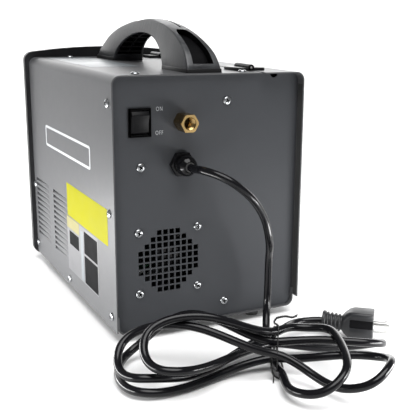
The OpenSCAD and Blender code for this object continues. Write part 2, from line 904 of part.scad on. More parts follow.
module hinge_moving(y) {
    difference() {
        union() {
            leaf(y, -1, door_gap);
            knuckle(y, 1);
            translate([-hinge_x - knuckle_d / 2, y - knuckle_len / 2, case_h + door_gap])
                cube([knuckle_d / 2, knuckle_len, knuckle_d / 2]);
        }
        for (part = [0, 2])
            translate([
                -hinge_x - knuckle_d / 2 - 2 * knuckle_gap,
                y - hinge_len / 2 + part * (knuckle_len + knuckle_gap) - knuckle_gap,
                case_h
            ])
                cube([knuckle_d, knuckle_len + 2 * knuckle_gap, 2 * knuckle_d]);
        hinge_bore(y, fit);
        for (dy = [-1, 1]) leaf_hole(-1, y + dy * hinge_len / 4);
    }
}

module hinge_bore(y, slack) {
    translate([-hinge_x, y - hinge_len, hinge_z]) rod_y(hinge_pin_d + 2 * slack, 2 * hinge_len);
}

module leaf_hole(side, y) {
    translate([-hinge_x + side * hinge_leaf * 0.62, y, case_h - eps])
        cylinder(d = screw_d, h = leaf_t + 1);
}

module hinge_pin(y) {
    translate([-hinge_x, y - hinge_len / 2, hinge_z]) rod_y(hinge_pin_d, hinge_len - 2);
}

module hinge_rear_fixed() { color(c_black) place() hinge_fixed(hinge_rear_y); }
module hinge_front_fixed() { color(c_black) place() hinge_fixed(hinge_front_y); }
module hinge_rear_moving() { color(c_black) place() hinge_moving(hinge_rear_y); }
module hinge_front_moving() { color(c_black) place() hinge_moving(hinge_front_y); }
module hinge_rear_pin() { color(c_steel) place() hinge_pin(hinge_rear_y); }
module hinge_front_pin() { color(c_steel) place() hinge_pin(hinge_front_y); }

// Side door
module door_section() {
    difference() {
        round_rect(2 * door_x, case_h + door_gap, edge_r);
        round_rect(2 * (door_x - sheet), case_h + door_gap - sheet, inner_r);
        translate([-hinge_x - 0.6, -eps]) square([2 * case_w, 2 * case_h]);
        translate([-case_w, -eps]) square([2 * case_w, door_bottom]);
    }
}

module side_door() {
    color(c_shell) place() difference() {
        translate([0, door_lip, 0]) to_rear(door_lip + case_len - seat) door_section();
        translate([-door_x - eps, latch_y, latch_z]) rod_x(latch_stem_d + 2 * fit, 2 * sheet);
    }
}

// Quarter-turn latch: a low knob outside and a cam inside, lying level when open
module latch_knob() {
    color(c_black) place() translate([-door_x, latch_y, latch_z]) {
        difference() {
            translate([-latch_proud - seat, 0, 0]) rod_x(latch_d, latch_proud);
            translate([-latch_proud - 1, -latch_d / 2 + 4, -coin_slot / 2])
                cube([3, latch_d - 8, coin_slot]);
        }
        translate([-seat - eps, 0, 0]) rod_x(latch_stem_d, cam_inset + seat + cam_t);
        translate([cam_inset, -latch_stem_d / 2, -cam_w / 2]) cube([cam_t, cam_len, cam_w]);
    }
}

// Spool and hub
module spool_hub() {
    color(c_black) place() {
        translate([drive_face - hub_len, hub_y, hub_z]) rod_x(hub_d, hub_len);
        translate([drive_face - spool_clear + seat, hub_y, hub_z])
            rod_x(hub_d + 12, spool_clear - seat);
        translate([drive_face - hub_len - hub_cap, hub_y, hub_z]) intersection() {
            rod_x(hub_d - 6, hub_cap + eps);
            translate([0, -hub_d / 4, -hub_d / 2]) cube([hub_cap + 1, hub_d / 2, hub_d]);
        }
    }
}

module wire_spool() {
    color(c_black) place() translate([spool_x - spool_w / 2, hub_y, hub_z]) difference() {
        union() {
            rod_x(spool_d, flange_t);
            translate([spool_w - flange_t, 0, 0]) rod_x(spool_d, flange_t);
            rod_x(core_d, spool_w);
        }
        translate([-eps, 0, 0]) rod_x(hub_d + 2 * fit, spool_w + 1);
        for (x = [0, spool_w - flange_t], turn = [0 : 60 : 300])
            rotate([turn, 0, 0]) translate([x - eps, 0, lighten_r])
                rod_x(lighten_d, flange_t + 2 * eps);
    }
}

module spool_wire() {
    color(c_copper) place()
        translate([spool_x - spool_w / 2 + flange_t, hub_y, hub_z]) difference() {
            rod_x(wound_d, spool_w - 2 * flange_t);
            translate([-eps, 0, 0]) rod_x(core_d, spool_w);
        }
}

// Wire drive
plate_h = 92;
plate_l = 84;
plate_low = 26;
plate_rear = 40;
shaft_back = 12;
motor_boss_d = motor_d * 0.5;
arm_pin_d = 8;
arm_pivot_d = 6;
tension_stem_d = 5;
tension_d = 20;
tension_h = 22;
pad_l = 14;
pad_h = 8;
pad_z = press_z + 12;
guide_bore = 2.4;
guide_bracket = 8;

module feed_plate() {
    color(c_alu) place() difference() {
        union() {
            translate([plate_x, feed_y + plate_rear - plate_l, drive_z - plate_low])
                cube([plate_t, plate_l, plate_h]);
            translate([arm_x - 3, arm_pivot_y, arm_pivot_z])
                rod_x(arm_pivot_d, plate_x - arm_x + 3 + eps);
        }
        translate([plate_x - eps, feed_y, drive_z]) rod_x(shaft_d + 2, plate_t + 1);
    }
}

module feed_motor() {
    color(c_steel) place() translate([divider_x + sheet / 2, feed_y, drive_z]) difference() {
        union() {
            rod_x(motor_d, motor_len);
            translate([-sheet - eps, 0, 0]) rod_x(motor_boss_d, sheet + 2 * eps);
        }
        translate([-sheet - 1, 0, 0]) rod_x(shaft_d + 2 * fit, shaft_back + 8);
    }
}

module feed_shaft() {
    roll_face = roll_x - roll_w / 2;
    color(c_steel) place() {
        translate([roll_face - shaft_nut, feed_y, drive_z])
            rod_x(shaft_d, divider_x + shaft_back - roll_face + shaft_nut);
        translate([roll_face - shaft_nut - eps, feed_y, drive_z]) rod_x(2 * shaft_d, shaft_nut);
    }
}

module roll_profile(bore) {
    groove = 1.2;
    difference() {
        translate([bore / 2, -roll_w / 2]) square([(roll_d - bore) / 2, roll_w]);
        translate([roll_d / 2, 0]) rotate(45) square(groove, center = true);
    }
}

module roll(bore, z) {
    translate([roll_x, feed_y, z]) rotate([0, 90, 0]) rotate_extrude() roll_profile(bore);
}

module drive_roll() { color(c_steel) place() roll(shaft_d, drive_z); }
module pressure_roll() { color(c_steel) place() roll(arm_pin_d + 2 * fit, press_z); }

module arm_disc(y, z, d) {
    translate([arm_x, y, z]) rod_x(d, arm_t, $fn = 32);
}

// Arm that carries the pressure roll on a pin, with a pad for the tension knob
module pressure_arm() {
    color(c_black) place() difference() {
        union() {
            hull() {
                arm_disc(arm_pivot_y, arm_pivot_z, arm_w);
                arm_disc(feed_y, press_z + 4, arm_w + 4);
                arm_disc(arm_end_y, press_z + 14, arm_w - 2);
            }
            translate([roll_x - roll_w / 2 - 3, feed_y, press_z])
                rod_x(arm_pin_d, arm_x - roll_x + roll_w / 2 + 4);
            translate([roll_x - 6, arm_end_y - pad_l / 2, pad_z])
                cube([arm_x - roll_x + 7, pad_l, pad_h]);
        }
        translate([arm_x - 1, arm_pivot_y, arm_pivot_z]) rod_x(arm_pivot_d + 2 * fit, arm_t + 2);
        translate([roll_x, arm_end_y, pad_z - 1])
            cylinder(d = tension_stem_d + 2 * fit, h = pad_h + 2);
    }
}

flute_d = 2;

module tension_knob() {
    color(c_black) place() translate([roll_x, arm_end_y, pad_z + pad_h + seat]) {
        difference() {
            cylinder(d = tension_d, h = tension_h);
            for (turn = [0 : 30 : 330])
                rotate(turn) translate([tension_d / 2, 0, 4]) cylinder(d = flute_d, h = tension_h);
        }
        translate([0, 0, -pad_h]) cylinder(d = tension_stem_d, h = pad_h + eps);
    }
}

// Inlet and outlet guides, each on a bracket from the plate
module wire_guides() {
    inlet_y = feed_y + 18;
    outlet_y = front_y + sheet + 8;
    color(c_brass) place() difference() {
        union() {
            translate([roll_x, inlet_y, wire_z]) rod_y(guide_d, plate_rear - 18);
            translate([roll_x, outlet_y, wire_z]) rod_y(guide_d, feed_y - 18 - outlet_y);
            for (y = [inlet_y + guide_bracket, feed_y - 34])
                translate([roll_x, y, wire_z - guide_d / 2])
                    cube([plate_x - roll_x + eps, guide_bracket, guide_d]);
        }
        translate([roll_x, front_y - 1, wire_z]) rod_y(guide_bore, case_len);
    }
}

// Front controls and sockets
knob_stem_d = 6;
knob_stem_len = 12;
knob_base = 3;
socket_neck_d = 26;
socket_collar = 9;
socket_deep = 25;
torch_neck_d = 30;
torch_deep = 10;
lamp_len = 6;

module front_knob(spot) {
    mark_w = 2;
    translate([spot[0], boss_seat - seat, spot[1]]) {
        translate([0, -knob_len, 0]) difference() {
            union() {
                rod_y(knob_d * 0.78, knob_base + eps);
                translate([0, knob_base, 0]) rod_y(knob_d, knob_len - knob_base);
            }
            for (turn = [0 : 20 : 340])
                rotate([0, turn, 0]) translate([knob_d / 2, -eps, 0]) rod_y(flute_d, knob_len - knob_base);
            translate([-mark_w / 2, -eps, 1]) cube([mark_w, 1, knob_d / 2 - 4]);
        }
        translate([0, -eps, 0]) rod_y(knob_stem_d, knob_stem_len);
    }
}

module voltage_knob() { color(c_black) place() front_knob(knob_spots[0]); }
module speed_knob() { color(c_black) place() front_knob(knob_spots[1]); }

module front_lamps() {
    color("orange") place()
        for (spot = lamp_spots)
            translate([spot[0], boss_seat - lamp_len / 3, spot[1]]) rod_y(lamp_d, lamp_len);
}

module socket(spot) {
    translate([spot[0], boss_seat, spot[1]]) difference() {
        union() {
            translate([0, -socket_collar, 0]) rod_y(socket_d, socket_collar);
            translate([0, -eps, 0]) rod_y(socket_neck_d, bezel_d);
        }
        translate([0, -socket_collar - 1, 0]) rod_y(socket_bore, socket_deep + 1);
    }
}

module socket_positive() { color(c_black) place() socket(socket_spots[0]); }
module socket_negative() { color(c_black) place() socket(socket_spots[1]); }

module torch_socket() {
    barrel = recess_d + torch_proud;
    color(c_brass) place() translate([roll_x, boss_seat, wire_z]) difference() {
        union() {
            translate([0, -barrel, 0]) rod_y(torch_d, barrel);
            translate([0, -eps, 0]) rod_y(torch_neck_d, front_y + sheet + 8 - boss_seat);
        }
        translate([0, -barrel - 1, 0]) rod_y(torch_bore, barrel + torch_deep);
        translate([0, -1, 0]) rod_y(guide_bore, 2 * bezel_d);
    }
}

// Cable gland: a hexagonal body through the panel, and a domed nut that closes on the cord
gland_neck_d = gland_flats - 6;
gland_hex_t = 7;
gland_inside = 12;
gland_nut_t = 5;

module gland_body() {
    color(c_black) place() translate([gland_x, 0, gland_z]) difference() {
        union() {
            rod_hex(gland_flats, gland_hex_t);
            translate([0, -gland_inside, 0]) rod_y(gland_neck_d, gland_inside + eps);
            translate([0, -sheet - gland_nut_t, 0]) rod_hex(gland_flats, gland_nut_t);
        }
        translate([0, -gland_inside - 1, 0]) rod_y(gland_bore, gland_inside + gland_hex_t + 2);
    }
}

// Half section of the nut: [radius, distance from the body]
module gland_section() {
    dome = gland_len - gland_hex_t;
    r = gland_dome / 2;
    mouth = gland_bore / 2;
    polygon(concat(
        [[mouth, 0], [r, 0], [r, dome * 0.5]],
        [for (turn = [20 : 20 : 80])
            [mouth + 1.5 + (r - mouth - 1.5) * cos(turn), dome * (0.5 + 0.5 * sin(turn))]],
        [[mouth + 1, dome], [mouth, dome]]));
}

module gland_nut() {
    color(c_black) place() translate([gland_x, gland_hex_t, gland_z])
        rotate([-90, 0, 0]) rotate_extrude() gland_section();
}

// Plug sizes
plug_w = 35;
plug_t = 25;
boot_len = 23;
boot_d = 19;
boot_ribs = 5;
plug_len = 36;
plug_shoulder = 10;
pin_gap = 12.7;
pin_w = 6.4;
pin_t = 1.5;
pin_len = 18;
ground_pin_d = 4.8;
ground_pin_off = 7;

// Power cord: points are [x, y from the rear panel, height above the floor]
cord_r = cord_d / 2;
drop_points = [
    [gland_x, gland_len, gland_z + foot_h], [gland_x, gland_len + 10, gland_z + foot_h],
    [34, 56, 203], [17, 79, 196], [-7, 86, 176], [-31, 74, 147], [-39, 72, 118], [-49, 54, 92],
    [-56, 41, 44], [-48, 53, 15], [-38, 73, 6], [-28, 94, 5], [-10, 142, 5], [-4, 162, 9],
    [11, 205, 12], [-6, 234, 19], [-38, 227, 36], [-68, 158, 41], [-54, 131, 37], [-35, 124, 39],
    [-21, 128.5, 39.5]
];
// Where the cord passes the tie, between one lobe and the next
crossings = [
    [-12, 129.5, 39.5], [-29.5, 104, 14], [-13, 130.5, 28.5], [-10, 137, 14], [-2.5, 155, 27],
    [-39, 96, 22]
];
// Each lobe: [heading, reach, half width, heights along it]
lobes = [
    [5, 150, -31, [65, 57, 34, 30, 21]],
    [154, 118, 20, [5, 7, 20, 31, 33]],
    [-17, 163, -47, [56, 15, 7, 8, 5]],
    [126, 121, 25, [25, 30, 38, 23, 12]],
    [-8, 171, -40, [55, 43, 19, 19, 6]]
];
rings_per_lobe = 24;
lead_out = [-75, 71, 17];
plug_start = [-108, 81, plug_w / 2];
plug_heading = 138;

function ahead(heading) = [cos(heading), sin(heading), 0];

function level(heights, s) =
    let (n = len(heights) - 1, i = min(floor(s * n), n - 1))
    spline_point(heights[max(i - 1, 0)], heights[i], heights[i + 1], heights[min(i + 2, n)], s * n - i);

function lobe_point(a, b, lobe, s) =
    let (out = ahead(lobe[0]), across = ahead(lobe[0] + 90),
        mid = a + (b - a) * s,
        bulge = 1.3 * lobe[2] * sin(360 * s) * sin(180 * s),
        flat = mid + out * lobe[1] * sin(180 * s) + across * bulge)
    [flat[0], flat[1], level(concat([a[2]], lobe[3], [b[2]]), s)];

hank_path = concat(
    [drop_points[len(drop_points) - 1]],
    [for (i = [0 : len(lobes) - 1], k = [0 : rings_per_lobe - 1])
        lobe_point(crossings[i], crossings[i + 1], lobes[i], k / rings_per_lobe)],
    spline([crossings[5], lead_out, plug_start - ahead(plug_heading) * cord_d], 5),
    [plug_start]
);
drop_path = spline(drop_points, 2);

function unit(v) = v / norm(v);

// Frames carried along a path without twisting
function tangent(path, i) =
    unit(path[min(i + 1, len(path) - 1)] - path[max(i - 1, 0)]);
function carried(v, t) = unit(v - t * (v * t));
function sides(path) = [
    for (i = 0, v = carried([0.3, 0.2, 1], tangent(path, 0)); i < len(path);
        i = i + 1, v = i < len(path) ? carried(v, tangent(path, i)) : v) v
];

module tube(path, r, faces_round) {
    n = faces_round;
    count = len(path);
    across = sides(path);
    points = [
        for (i = [0 : count - 1], k = [0 : n - 1])
            path[i] + r * (cos(360 * k / n) * across[i]
                + sin(360 * k / n) * cross(tangent(path, i), across[i]))
    ];
    faces = concat(
        [[for (k = [n - 1 : -1 : 0]) k]],
        [[for (k = [0 : n - 1]) (count - 1) * n + k]],
        [for (i = [0 : count - 2], k = [0 : n - 1])
            [i * n + k, i * n + (k + 1) % n, (i + 1) * n + (k + 1) % n]],
        [for (i = [0 : count - 2], k = [0 : n - 1])
            [i * n + k, (i + 1) * n + (k + 1) % n, (i + 1) * n + k]]);
    polyhedron(points, [for (f = faces) [for (j = [len(f) - 1 : -1 : 0]) f[j]]]);
}

module on_floor() { translate([0, rear_y, 0]) children(); }

module power_cord() { color(c_rubber) on_floor() tube(drop_path, cord_r, 10); }
module cord_hank() { color(c_rubber) on_floor() tube(hank_path, cord_r, 6); }

// Least gap between stretches of the cord that are not neighbours
apart = 4;
hank_gap = min([
    for (i = [0 : len(hank_path) - 1 - apart], j = [i + apart : len(hank_path) - 1])
        norm(hank_path[i] - hank_path[j])
]) - cord_d;
drop_gap = min([
    for (a = drop_path, j = [3 : len(hank_path) - 1]) norm(a - hank_path[j])
]) - cord_d;
echo(least_gap_mm = hank_gap, gap_to_drop_mm = drop_gap);

// Wire tie round the crossings
tie_r = 1.2;
tie_loop = [
    [-44.5, 76.5, 18.5], [-41.5, 83, 23], [-34, 97.5, 28.5], [-25, 112.5, 30.5], [-14, 129.5, 22],
    [-1, 145.5, 19.5], [3.5, 157.5, 7], [-5.5, 160, 1.5], [-19, 138.5, 3], [-27.5, 115.5, 4.5],
    [-37, 96.5, 5], [-42.5, 83.5, 7.5]
];

module cord_tie() {
    color(c_black) on_floor() tube(spline(tie_loop, 3), tie_r, 6);
}

// Moulded plug, lying on its narrow side
module at_plug() {
    on_floor() translate(plug_start) rotate([0, 0, plug_heading - 90]) children();
}

module plug_body() {
    pitch = boot_len / boot_ribs;
    color(c_black) at_plug() {
        rod_y(cord_d + 4, boot_len);
        for (i = [0 : boot_ribs - 1])
            translate([0, i * pitch, 0]) rod_y(boot_d - i * 0.8, pitch * 0.6);
        translate([0, boot_len, 0]) rotate([0, 90, 0]) translate([0, 0, -plug_t / 2])
            linear_extrude(plug_t) plug_outline();
    }
}

// Side outline of the plug: round shoulders behind a flat face
module plug_outline() {
    translate([0, plug_shoulder / 2]) translate([-plug_w / 2, 0])
        square([plug_w, plug_len - plug_shoulder / 2]);
    translate([plug_shoulder / 2 - plug_w / 2, 0])
        square([plug_w - plug_shoulder, plug_len]);
    for (side = [-1, 1])
        translate([side * (plug_w - plug_shoulder) / 2, plug_shoulder / 2]) circle(plug_shoulder / 2);
}

module plug_pins() {
    color(c_brass) at_plug() {
        for (side = [-1, 1])
            translate([-pin_w / 2, boot_len + plug_len, (side * pin_gap - pin_t) / 2])
                cube([pin_w, pin_len, pin_t]);
        translate([-ground_pin_off, boot_len + plug_len, 0]) rod_y(ground_pin_d, pin_len + 3);
    }
}

base_tray();
rear_panel();
front_panel();
front_bezel();
side_cover();
divider();
handle();
foot_rear_left();
foot_rear_right();
foot_front_left();
foot_front_right();
rear_screws();
cover_screws();
fan_screws();
gas_fitting();
gas_solenoid();
switch_frame();
rocker();
fan_housing();
fan_rotor();
heatsink();
circuit_board();
capacitors();
choke();
hinge_rear_fixed();
hinge_front_fixed();
hinge_rear_pin();
hinge_front_pin();
hinge_rear_moving();
hinge_front_moving();
side_door();
latch_knob();
spool_hub();
wire_spool();
spool_wire();
feed_plate();
feed_motor();
feed_shaft();
drive_roll();
pressure_arm();
pressure_roll();
tension_knob();
wire_guides();
voltage_knob();
speed_knob();
torch_socket();
socket_positive();
socket_negative();
front_lamps();
gland_body();
gland_nut();
power_cord();
cord_hank();
cord_tie();
plug_body();
plug_pins();
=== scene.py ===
import json
from math import cos, pi, radians, sin, sqrt

import bmesh
import bpy
from mathutils import Matrix, Vector


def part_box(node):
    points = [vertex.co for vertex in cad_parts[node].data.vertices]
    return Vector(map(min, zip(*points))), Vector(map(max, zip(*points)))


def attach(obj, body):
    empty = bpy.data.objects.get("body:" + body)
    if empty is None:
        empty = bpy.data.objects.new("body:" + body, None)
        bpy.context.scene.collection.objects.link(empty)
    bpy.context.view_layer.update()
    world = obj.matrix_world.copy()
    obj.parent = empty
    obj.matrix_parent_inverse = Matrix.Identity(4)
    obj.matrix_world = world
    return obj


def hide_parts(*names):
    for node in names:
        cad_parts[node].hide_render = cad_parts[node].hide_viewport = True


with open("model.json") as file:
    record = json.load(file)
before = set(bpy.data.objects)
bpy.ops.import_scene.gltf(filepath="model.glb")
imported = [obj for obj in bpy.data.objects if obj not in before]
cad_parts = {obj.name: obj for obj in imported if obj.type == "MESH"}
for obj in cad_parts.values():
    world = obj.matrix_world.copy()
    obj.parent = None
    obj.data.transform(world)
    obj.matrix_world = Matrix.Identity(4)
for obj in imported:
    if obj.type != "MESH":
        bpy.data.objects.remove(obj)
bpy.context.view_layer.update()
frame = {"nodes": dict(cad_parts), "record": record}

# Places are in millimetres from the rear panel's outer face, the middle of the case and the
# tray's underside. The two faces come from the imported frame.
MM = 0.001
REAR_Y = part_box("rear_panel")[1].y
TRAY_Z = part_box("base_tray")[0].z
CASE_SIDE = 116
CASE_H = 290


def at(x, y, z):
    """A point in metres, from millimetres to the rear panel and the tray's underside."""
    return Vector((x * MM, REAR_Y + y * MM, TRAY_Z + z * MM))


def on_floor(point):
    """A point in metres, from millimetres to the rear panel and the floor."""
    return Vector((point[0] * MM, REAR_Y + point[1] * MM, point[2] * MM))


def linked(name, data):
    """A new object in the scene."""
    obj = bpy.data.objects.new(name, data)
    bpy.context.scene.collection.objects.link(obj)
    return obj


# ---- camera

CAMERA_PLACE = (0.3810, 0.9661, 0.3629)
CAMERA_AZIMUTH = 151.02
CAMERA_ELEVATION = 13.92
CAMERA_ROLL = 1.0
CAMERA_LENS = 67.26
CAMERA_SHIFT_X = -0.101


def make_camera():
    """The photograph's view. Azimuth 0 looks at the front, and 180 at the rear."""
    a, e, r = (radians(v) for v in (CAMERA_AZIMUTH, CAMERA_ELEVATION, CAMERA_ROLL))
    back = Vector((sin(a) * cos(e), -cos(a) * cos(e), sin(e)))
    right = (-back).cross(Vector((0, 0, 1))).normalized()
    up = right.cross(-back)
    rolled_right = cos(r) * right + sin(r) * up
    rolled_up = cos(r) * up - sin(r) * right
    data = bpy.data.cameras.new("camera")
    data.sensor_width = 36
    data.lens = CAMERA_LENS
    data.shift_x = CAMERA_SHIFT_X
    data.dof.use_dof = False
    data.clip_start = 0.01
    camera = linked("camera", data)
    turn = Matrix((rolled_right, rolled_up, back)).transposed().to_4x4()
    camera.matrix_world = Matrix.Translation(CAMERA_PLACE) @ turn
    bpy.context.scene.camera = camera


make_camera()


# ---- curves

def spline_point(a, b, c, d, t):
    """A value between b and c on the smooth curve through four even ones."""
    return (2 * b + (c - a) * t + (2 * a - 5 * b + 4 * c - d) * t * t
            + (3 * b - a - 3 * c + d) * t * t * t) / 2


def spline(points, steps):
    """Points along a smooth curve through the given ones."""
    points = [Vector(p) for p in points]
    ends = [2 * points[0] - points[1]] + points + [2 * points[-1] - points[-2]]
    run = [spline_point(*ends[i:i + 4], k / steps)
           for i in range(len(points) - 1) for k in range(steps)]
    return run + [points[-1]]


def evenly(points, step):
    """The same line as points a fixed step apart."""
    out, left = [points[0].copy()], step
    for a, b in zip(points, points[1:]):
        length = (b - a).length
        gone = 0.0
        while length - gone >= left:
            gone += left
            out.append(a.lerp(b, gone / length))
            left = step
        left -= length - gone
    out[-1] = points[-1].copy()
    return out


def eased(points, passes):
    """The line with its small kinks smoothed away, and its ends where they were."""
    run = [p.copy() for p in points]
    for _ in range(passes):
        run = run[:2] + [(run[i - 1] + 2 * run[i] + run[i + 1]) / 4
                         for i in range(2, len(run) - 2)] + run[-2:]
    return run


def wire_curve(name, points, radius, sides):
    """A round wire along a line of points, as a curve of one open spline.

    The points carry the radius, because a curve's bounds grow by each point's radius.
    """
    data = bpy.data.curves.new(name, "CURVE")
    data.dimensions = "3D"
    data.bevel_depth = 1
    data.bevel_resolution = sides
    data.use_fill_caps = True
    line = data.splines.new("POLY")
    line.points.add(len(points) - 1)
    for point, co in zip(line.points, points):
        point.co = (*co, 1)
        point.radius = radius
    line.use_smooth = True
    return linked(name, data)


# ---- power cord

CORD_D = 8.8
GLAND = (35.5, 26, 201)
DROP_POINTS = [
    GLAND, (35.5, 36, 201),
    (34, 56, 203), (17, 79, 196), (-7, 86, 176), (-31, 74, 147), (-39, 72, 118), (-49, 54, 92),
    (-56, 41, 44), (-48, 53, 15), (-38, 73, 6), (-28, 94, 5), (-10, 142, 5), (-4, 162, 9),
    (11, 205, 12), (-6, 234, 19), (-38, 227, 36), (-68, 158, 41), (-54, 131, 37),
    (-35, 124, 39), (-21, 128.5, 39.5),
]
CROSSINGS = [
    (-12, 129.5, 39.5), (-29.5, 104, 14), (-13, 130.5, 28.5), (-10, 137, 14), (-2.5, 155, 27),
    (-39, 96, 22),
]
# Each lobe runs from one crossing to the next: heading, reach, half width, heights along it
LOBES = [
    (5, 150, -31, (65, 57, 34, 30, 21)),
    (154, 118, 20, (5, 7, 20, 31, 33)),
    (-17, 163, -47, (56, 15, 7, 8, 5)),
    (126, 121, 25, (25, 30, 38, 23, 12)),
    (-8, 171, -40, (55, 43, 19, 19, 6)),
]
LOBE_SWELL = 1.3
STEPS_PER_LOBE = 48
STEPS_PER_POINT = 12
CORD_STEP = 2.5
CORD_PASSES = 14
CORD_SIDES = 8
LEAD_OUT = (-75, 71, 17)
PLUG_W = 35
PLUG_START = (-108, 81, PLUG_W / 2)
PLUG_HEADING = 138


def ahead(heading):
    """A level direction, from its angle in degrees."""
    turn = radians(heading)
    return Vector((cos(turn), sin(turn), 0))


def level(heights, s):
    """The height at a share of the way along a lobe."""
    n = len(heights) - 1
    i = min(int(s * n), n - 1)
    return spline_point(heights[max(i - 1, 0)], heights[i], heights[i + 1],
                        heights[min(i + 2, n)], s * n - i)


def lobe_point(a, b, lobe, s):
    """A point of the lobe that leaves one crossing and comes back to the next."""
    heading, reach, half, heights = lobe
    out, across = ahead(heading), ahead(heading + 90)
    flat = (Vector(a).lerp(Vector(b), s) + out * reach * sin(pi * s)
            + across * LOBE_SWELL * half * sin(2 * pi * s) * sin(pi * s))
    return Vector((flat.x, flat.y, level((a[2],) + heights + (b[2],), s)))


def cord_line():
    """The cord's whole centreline: the drop, the tied lobes and the lead to the plug."""
    drop = spline(DROP_POINTS, STEPS_PER_POINT)
    lobes = [lobe_point(CROSSINGS[i], CROSSINGS[i + 1], lobe, k / STEPS_PER_LOBE)
             for i, lobe in enumerate(LOBES) for k in range(STEPS_PER_LOBE)]
    start = Vector(PLUG_START)
    lead = spline([CROSSINGS[-1], LEAD_OUT, start - ahead(PLUG_HEADING) * CORD_D], STEPS_PER_POINT)
    points = evenly(drop + lobes + lead + [start], CORD_STEP)
    return [on_floor(p) for p in eased(points, CORD_PASSES)]


cord_points = cord_line()
cord = wire_curve("cord_run", cord_points, CORD_D / 2 * MM, CORD_SIDES)
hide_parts("power_cord", "cord_hank")
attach(cord, "chassis")


# ---- materials

# Noise textures give 0 to 1, and nearly all of it lies in this span
NOISE_SPAN = (0.3, 0.7)
COAT_ROUGH = 0.12


def node(tree, kind, **values):
    """A node with the given settings: inputs by name, with _ for a space, or properties."""
    made = tree.nodes.new(kind)
    for key, value in values.items():
        socket = made.inputs.get(key.replace("_", " "))
        if socket is not None:
            socket.default_value = value
        else:
            setattr(made, key, value)
    return made


def place_of(tree, stretch=(1, 1, 1)):
    """The object's own coordinates, in metres, stretched along its axes."""
    coords = node(tree, "ShaderNodeTexCoord")
    mapping = node(tree, "ShaderNodeMapping", Scale=stretch)
    tree.links.new(coords.outputs["Object"], mapping.inputs["Vector"])
    return mapping.outputs["Vector"]


def new_material(name):
    """A material with its node tree, its shader and the object's own coordinates."""
    material = bpy.data.materials.new(name)
    material.use_nodes = True
    tree = material.node_tree
    return material, tree, tree.nodes["Principled BSDF"], place_of(tree)


def noise(tree, place, per_metre, detail, rough=0.5):
    made = node(tree, "ShaderNodeTexNoise", Scale=per_metre, Detail=detail, Roughness=rough)
    tree.links.new(place, made.inputs["Vector"])
    return made.outputs["Fac"]


def ramp(tree, value, low, high):
    """A noise's value as a shade between two colours."""
    made = node(tree, "ShaderNodeValToRGB")
    for stop, position, colour in zip(made.color_ramp.elements, NOISE_SPAN, (low, high)):
        stop.position = position
        stop.color = (*colour, 1)
    tree.links.new(value, made.inputs["Fac"])
    return made.outputs["Color"]


def mapped(tree, value, span, result, kind="LINEAR"):
    """A value carried from one span of numbers to another."""
    made = node(tree, "ShaderNodeMapRange", interpolation_type=kind)
    for key, number in zip(("From Min", "From Max", "To Min", "To Max"), (*span, *result)):
        made.inputs[key].default_value = number
    tree.links.new(value, made.inputs["Value"])
    return made.outputs["Result"]


def between(tree, value, low, high):
    """A noise's value as a number between two others."""
    return mapped(tree, value, NOISE_SPAN, (low, high))


def bump(tree, shader, height, depth, under=None):
    """Relief of a real depth in metres."""
    made = node(tree, "ShaderNodeBump", Strength=1, Distance=depth)
    tree.links.new(height, made.inputs["Height"])
    if under is not None:
        tree.links.new(under, made.inputs["Normal"])
    tree.links.new(made.outputs["Normal"], shader.inputs["Normal"])
    return made.outputs["Normal"]


def surface(tree, shader, colour, rough, height, depth):
    """Gives a shader its colour, its roughness and its relief."""
    tree.links.new(colour, shader.inputs["Base Color"])
    tree.links.new(rough, shader.inputs["Roughness"])
    return bump(tree, shader, height, depth)


def mottled(tree, value, colour, mottle):
    """A colour that a noise makes a little darker and lighter."""
    low, high = ([min(c * factor, 1) for c in colour] for factor in (1 - mottle, 1 + mottle))
    return ramp(tree, value, low, high)


def grained(name, colour, rough, grain, metal=0.0, grain_depth=0.00002, mottle=0.08,
            rough_spread=0.06, coat=0.0, specular=0.5):
    """A worked surface: slight mottling, uneven gloss and a fine relief."""
    material, tree, shader, place = new_material(name)
    broad = noise(tree, place, grain / 18, 2)
    fine = noise(tree, place, grain, 4, 0.6)
    surface(tree, shader, mottled(tree, broad, colour, mottle),
            between(tree, broad, rough - rough_spread, rough + rough_spread), fine, grain_depth)
    shader.inputs["Metallic"].default_value = metal
    shader.inputs["Coat Weight"].default_value = coat
    shader.inputs["Coat Roughness"].default_value = COAT_ROUGH
    shader.inputs["Specular IOR Level"].default_value = specular
    return material


def lined(name, colour, rough, axis, per_metre, depth):
    """Metal with fine parallel lines across one axis, such as turning marks or wound wire."""
    material, tree, shader, place = new_material(name)
    lines = node(tree, "ShaderNodeTexWave", Scale=per_metre, Distortion=0.0, wave_type="BANDS",
                 bands_direction=axis)
    tree.links.new(place, lines.inputs["Vector"])
    broad = noise(tree, place, 160, 3)
    surface(tree, shader, mottled(tree, broad, colour, 0.1),
            between(tree, broad, rough * 0.8, rough * 1.2), lines.outputs["Fac"], depth)
    shader.inputs["Metallic"].default_value = 1
    return material


def board_material():
    """Green lacquer over a grid of copper tracks."""
    material, tree, shader, place = new_material("board_lacquer")
    tracks = node(tree, "ShaderNodeTexBrick", Scale=90, Mortar_Size=0.06,
                  Color1=(0.02, 0.12, 0.05, 1), Color2=(0.02, 0.15, 0.07, 1),
                  Mortar=(0.05, 0.25, 0.12, 1))
    tree.links.new(place, tracks.inputs["Vector"])
    tree.links.new(tracks.outputs["Color"], shader.inputs["Base Color"])
    bump(tree, shader, tracks.outputs["Fac"], 0.0001)
    shader.inputs["Roughness"].default_value = 0.3
    return material


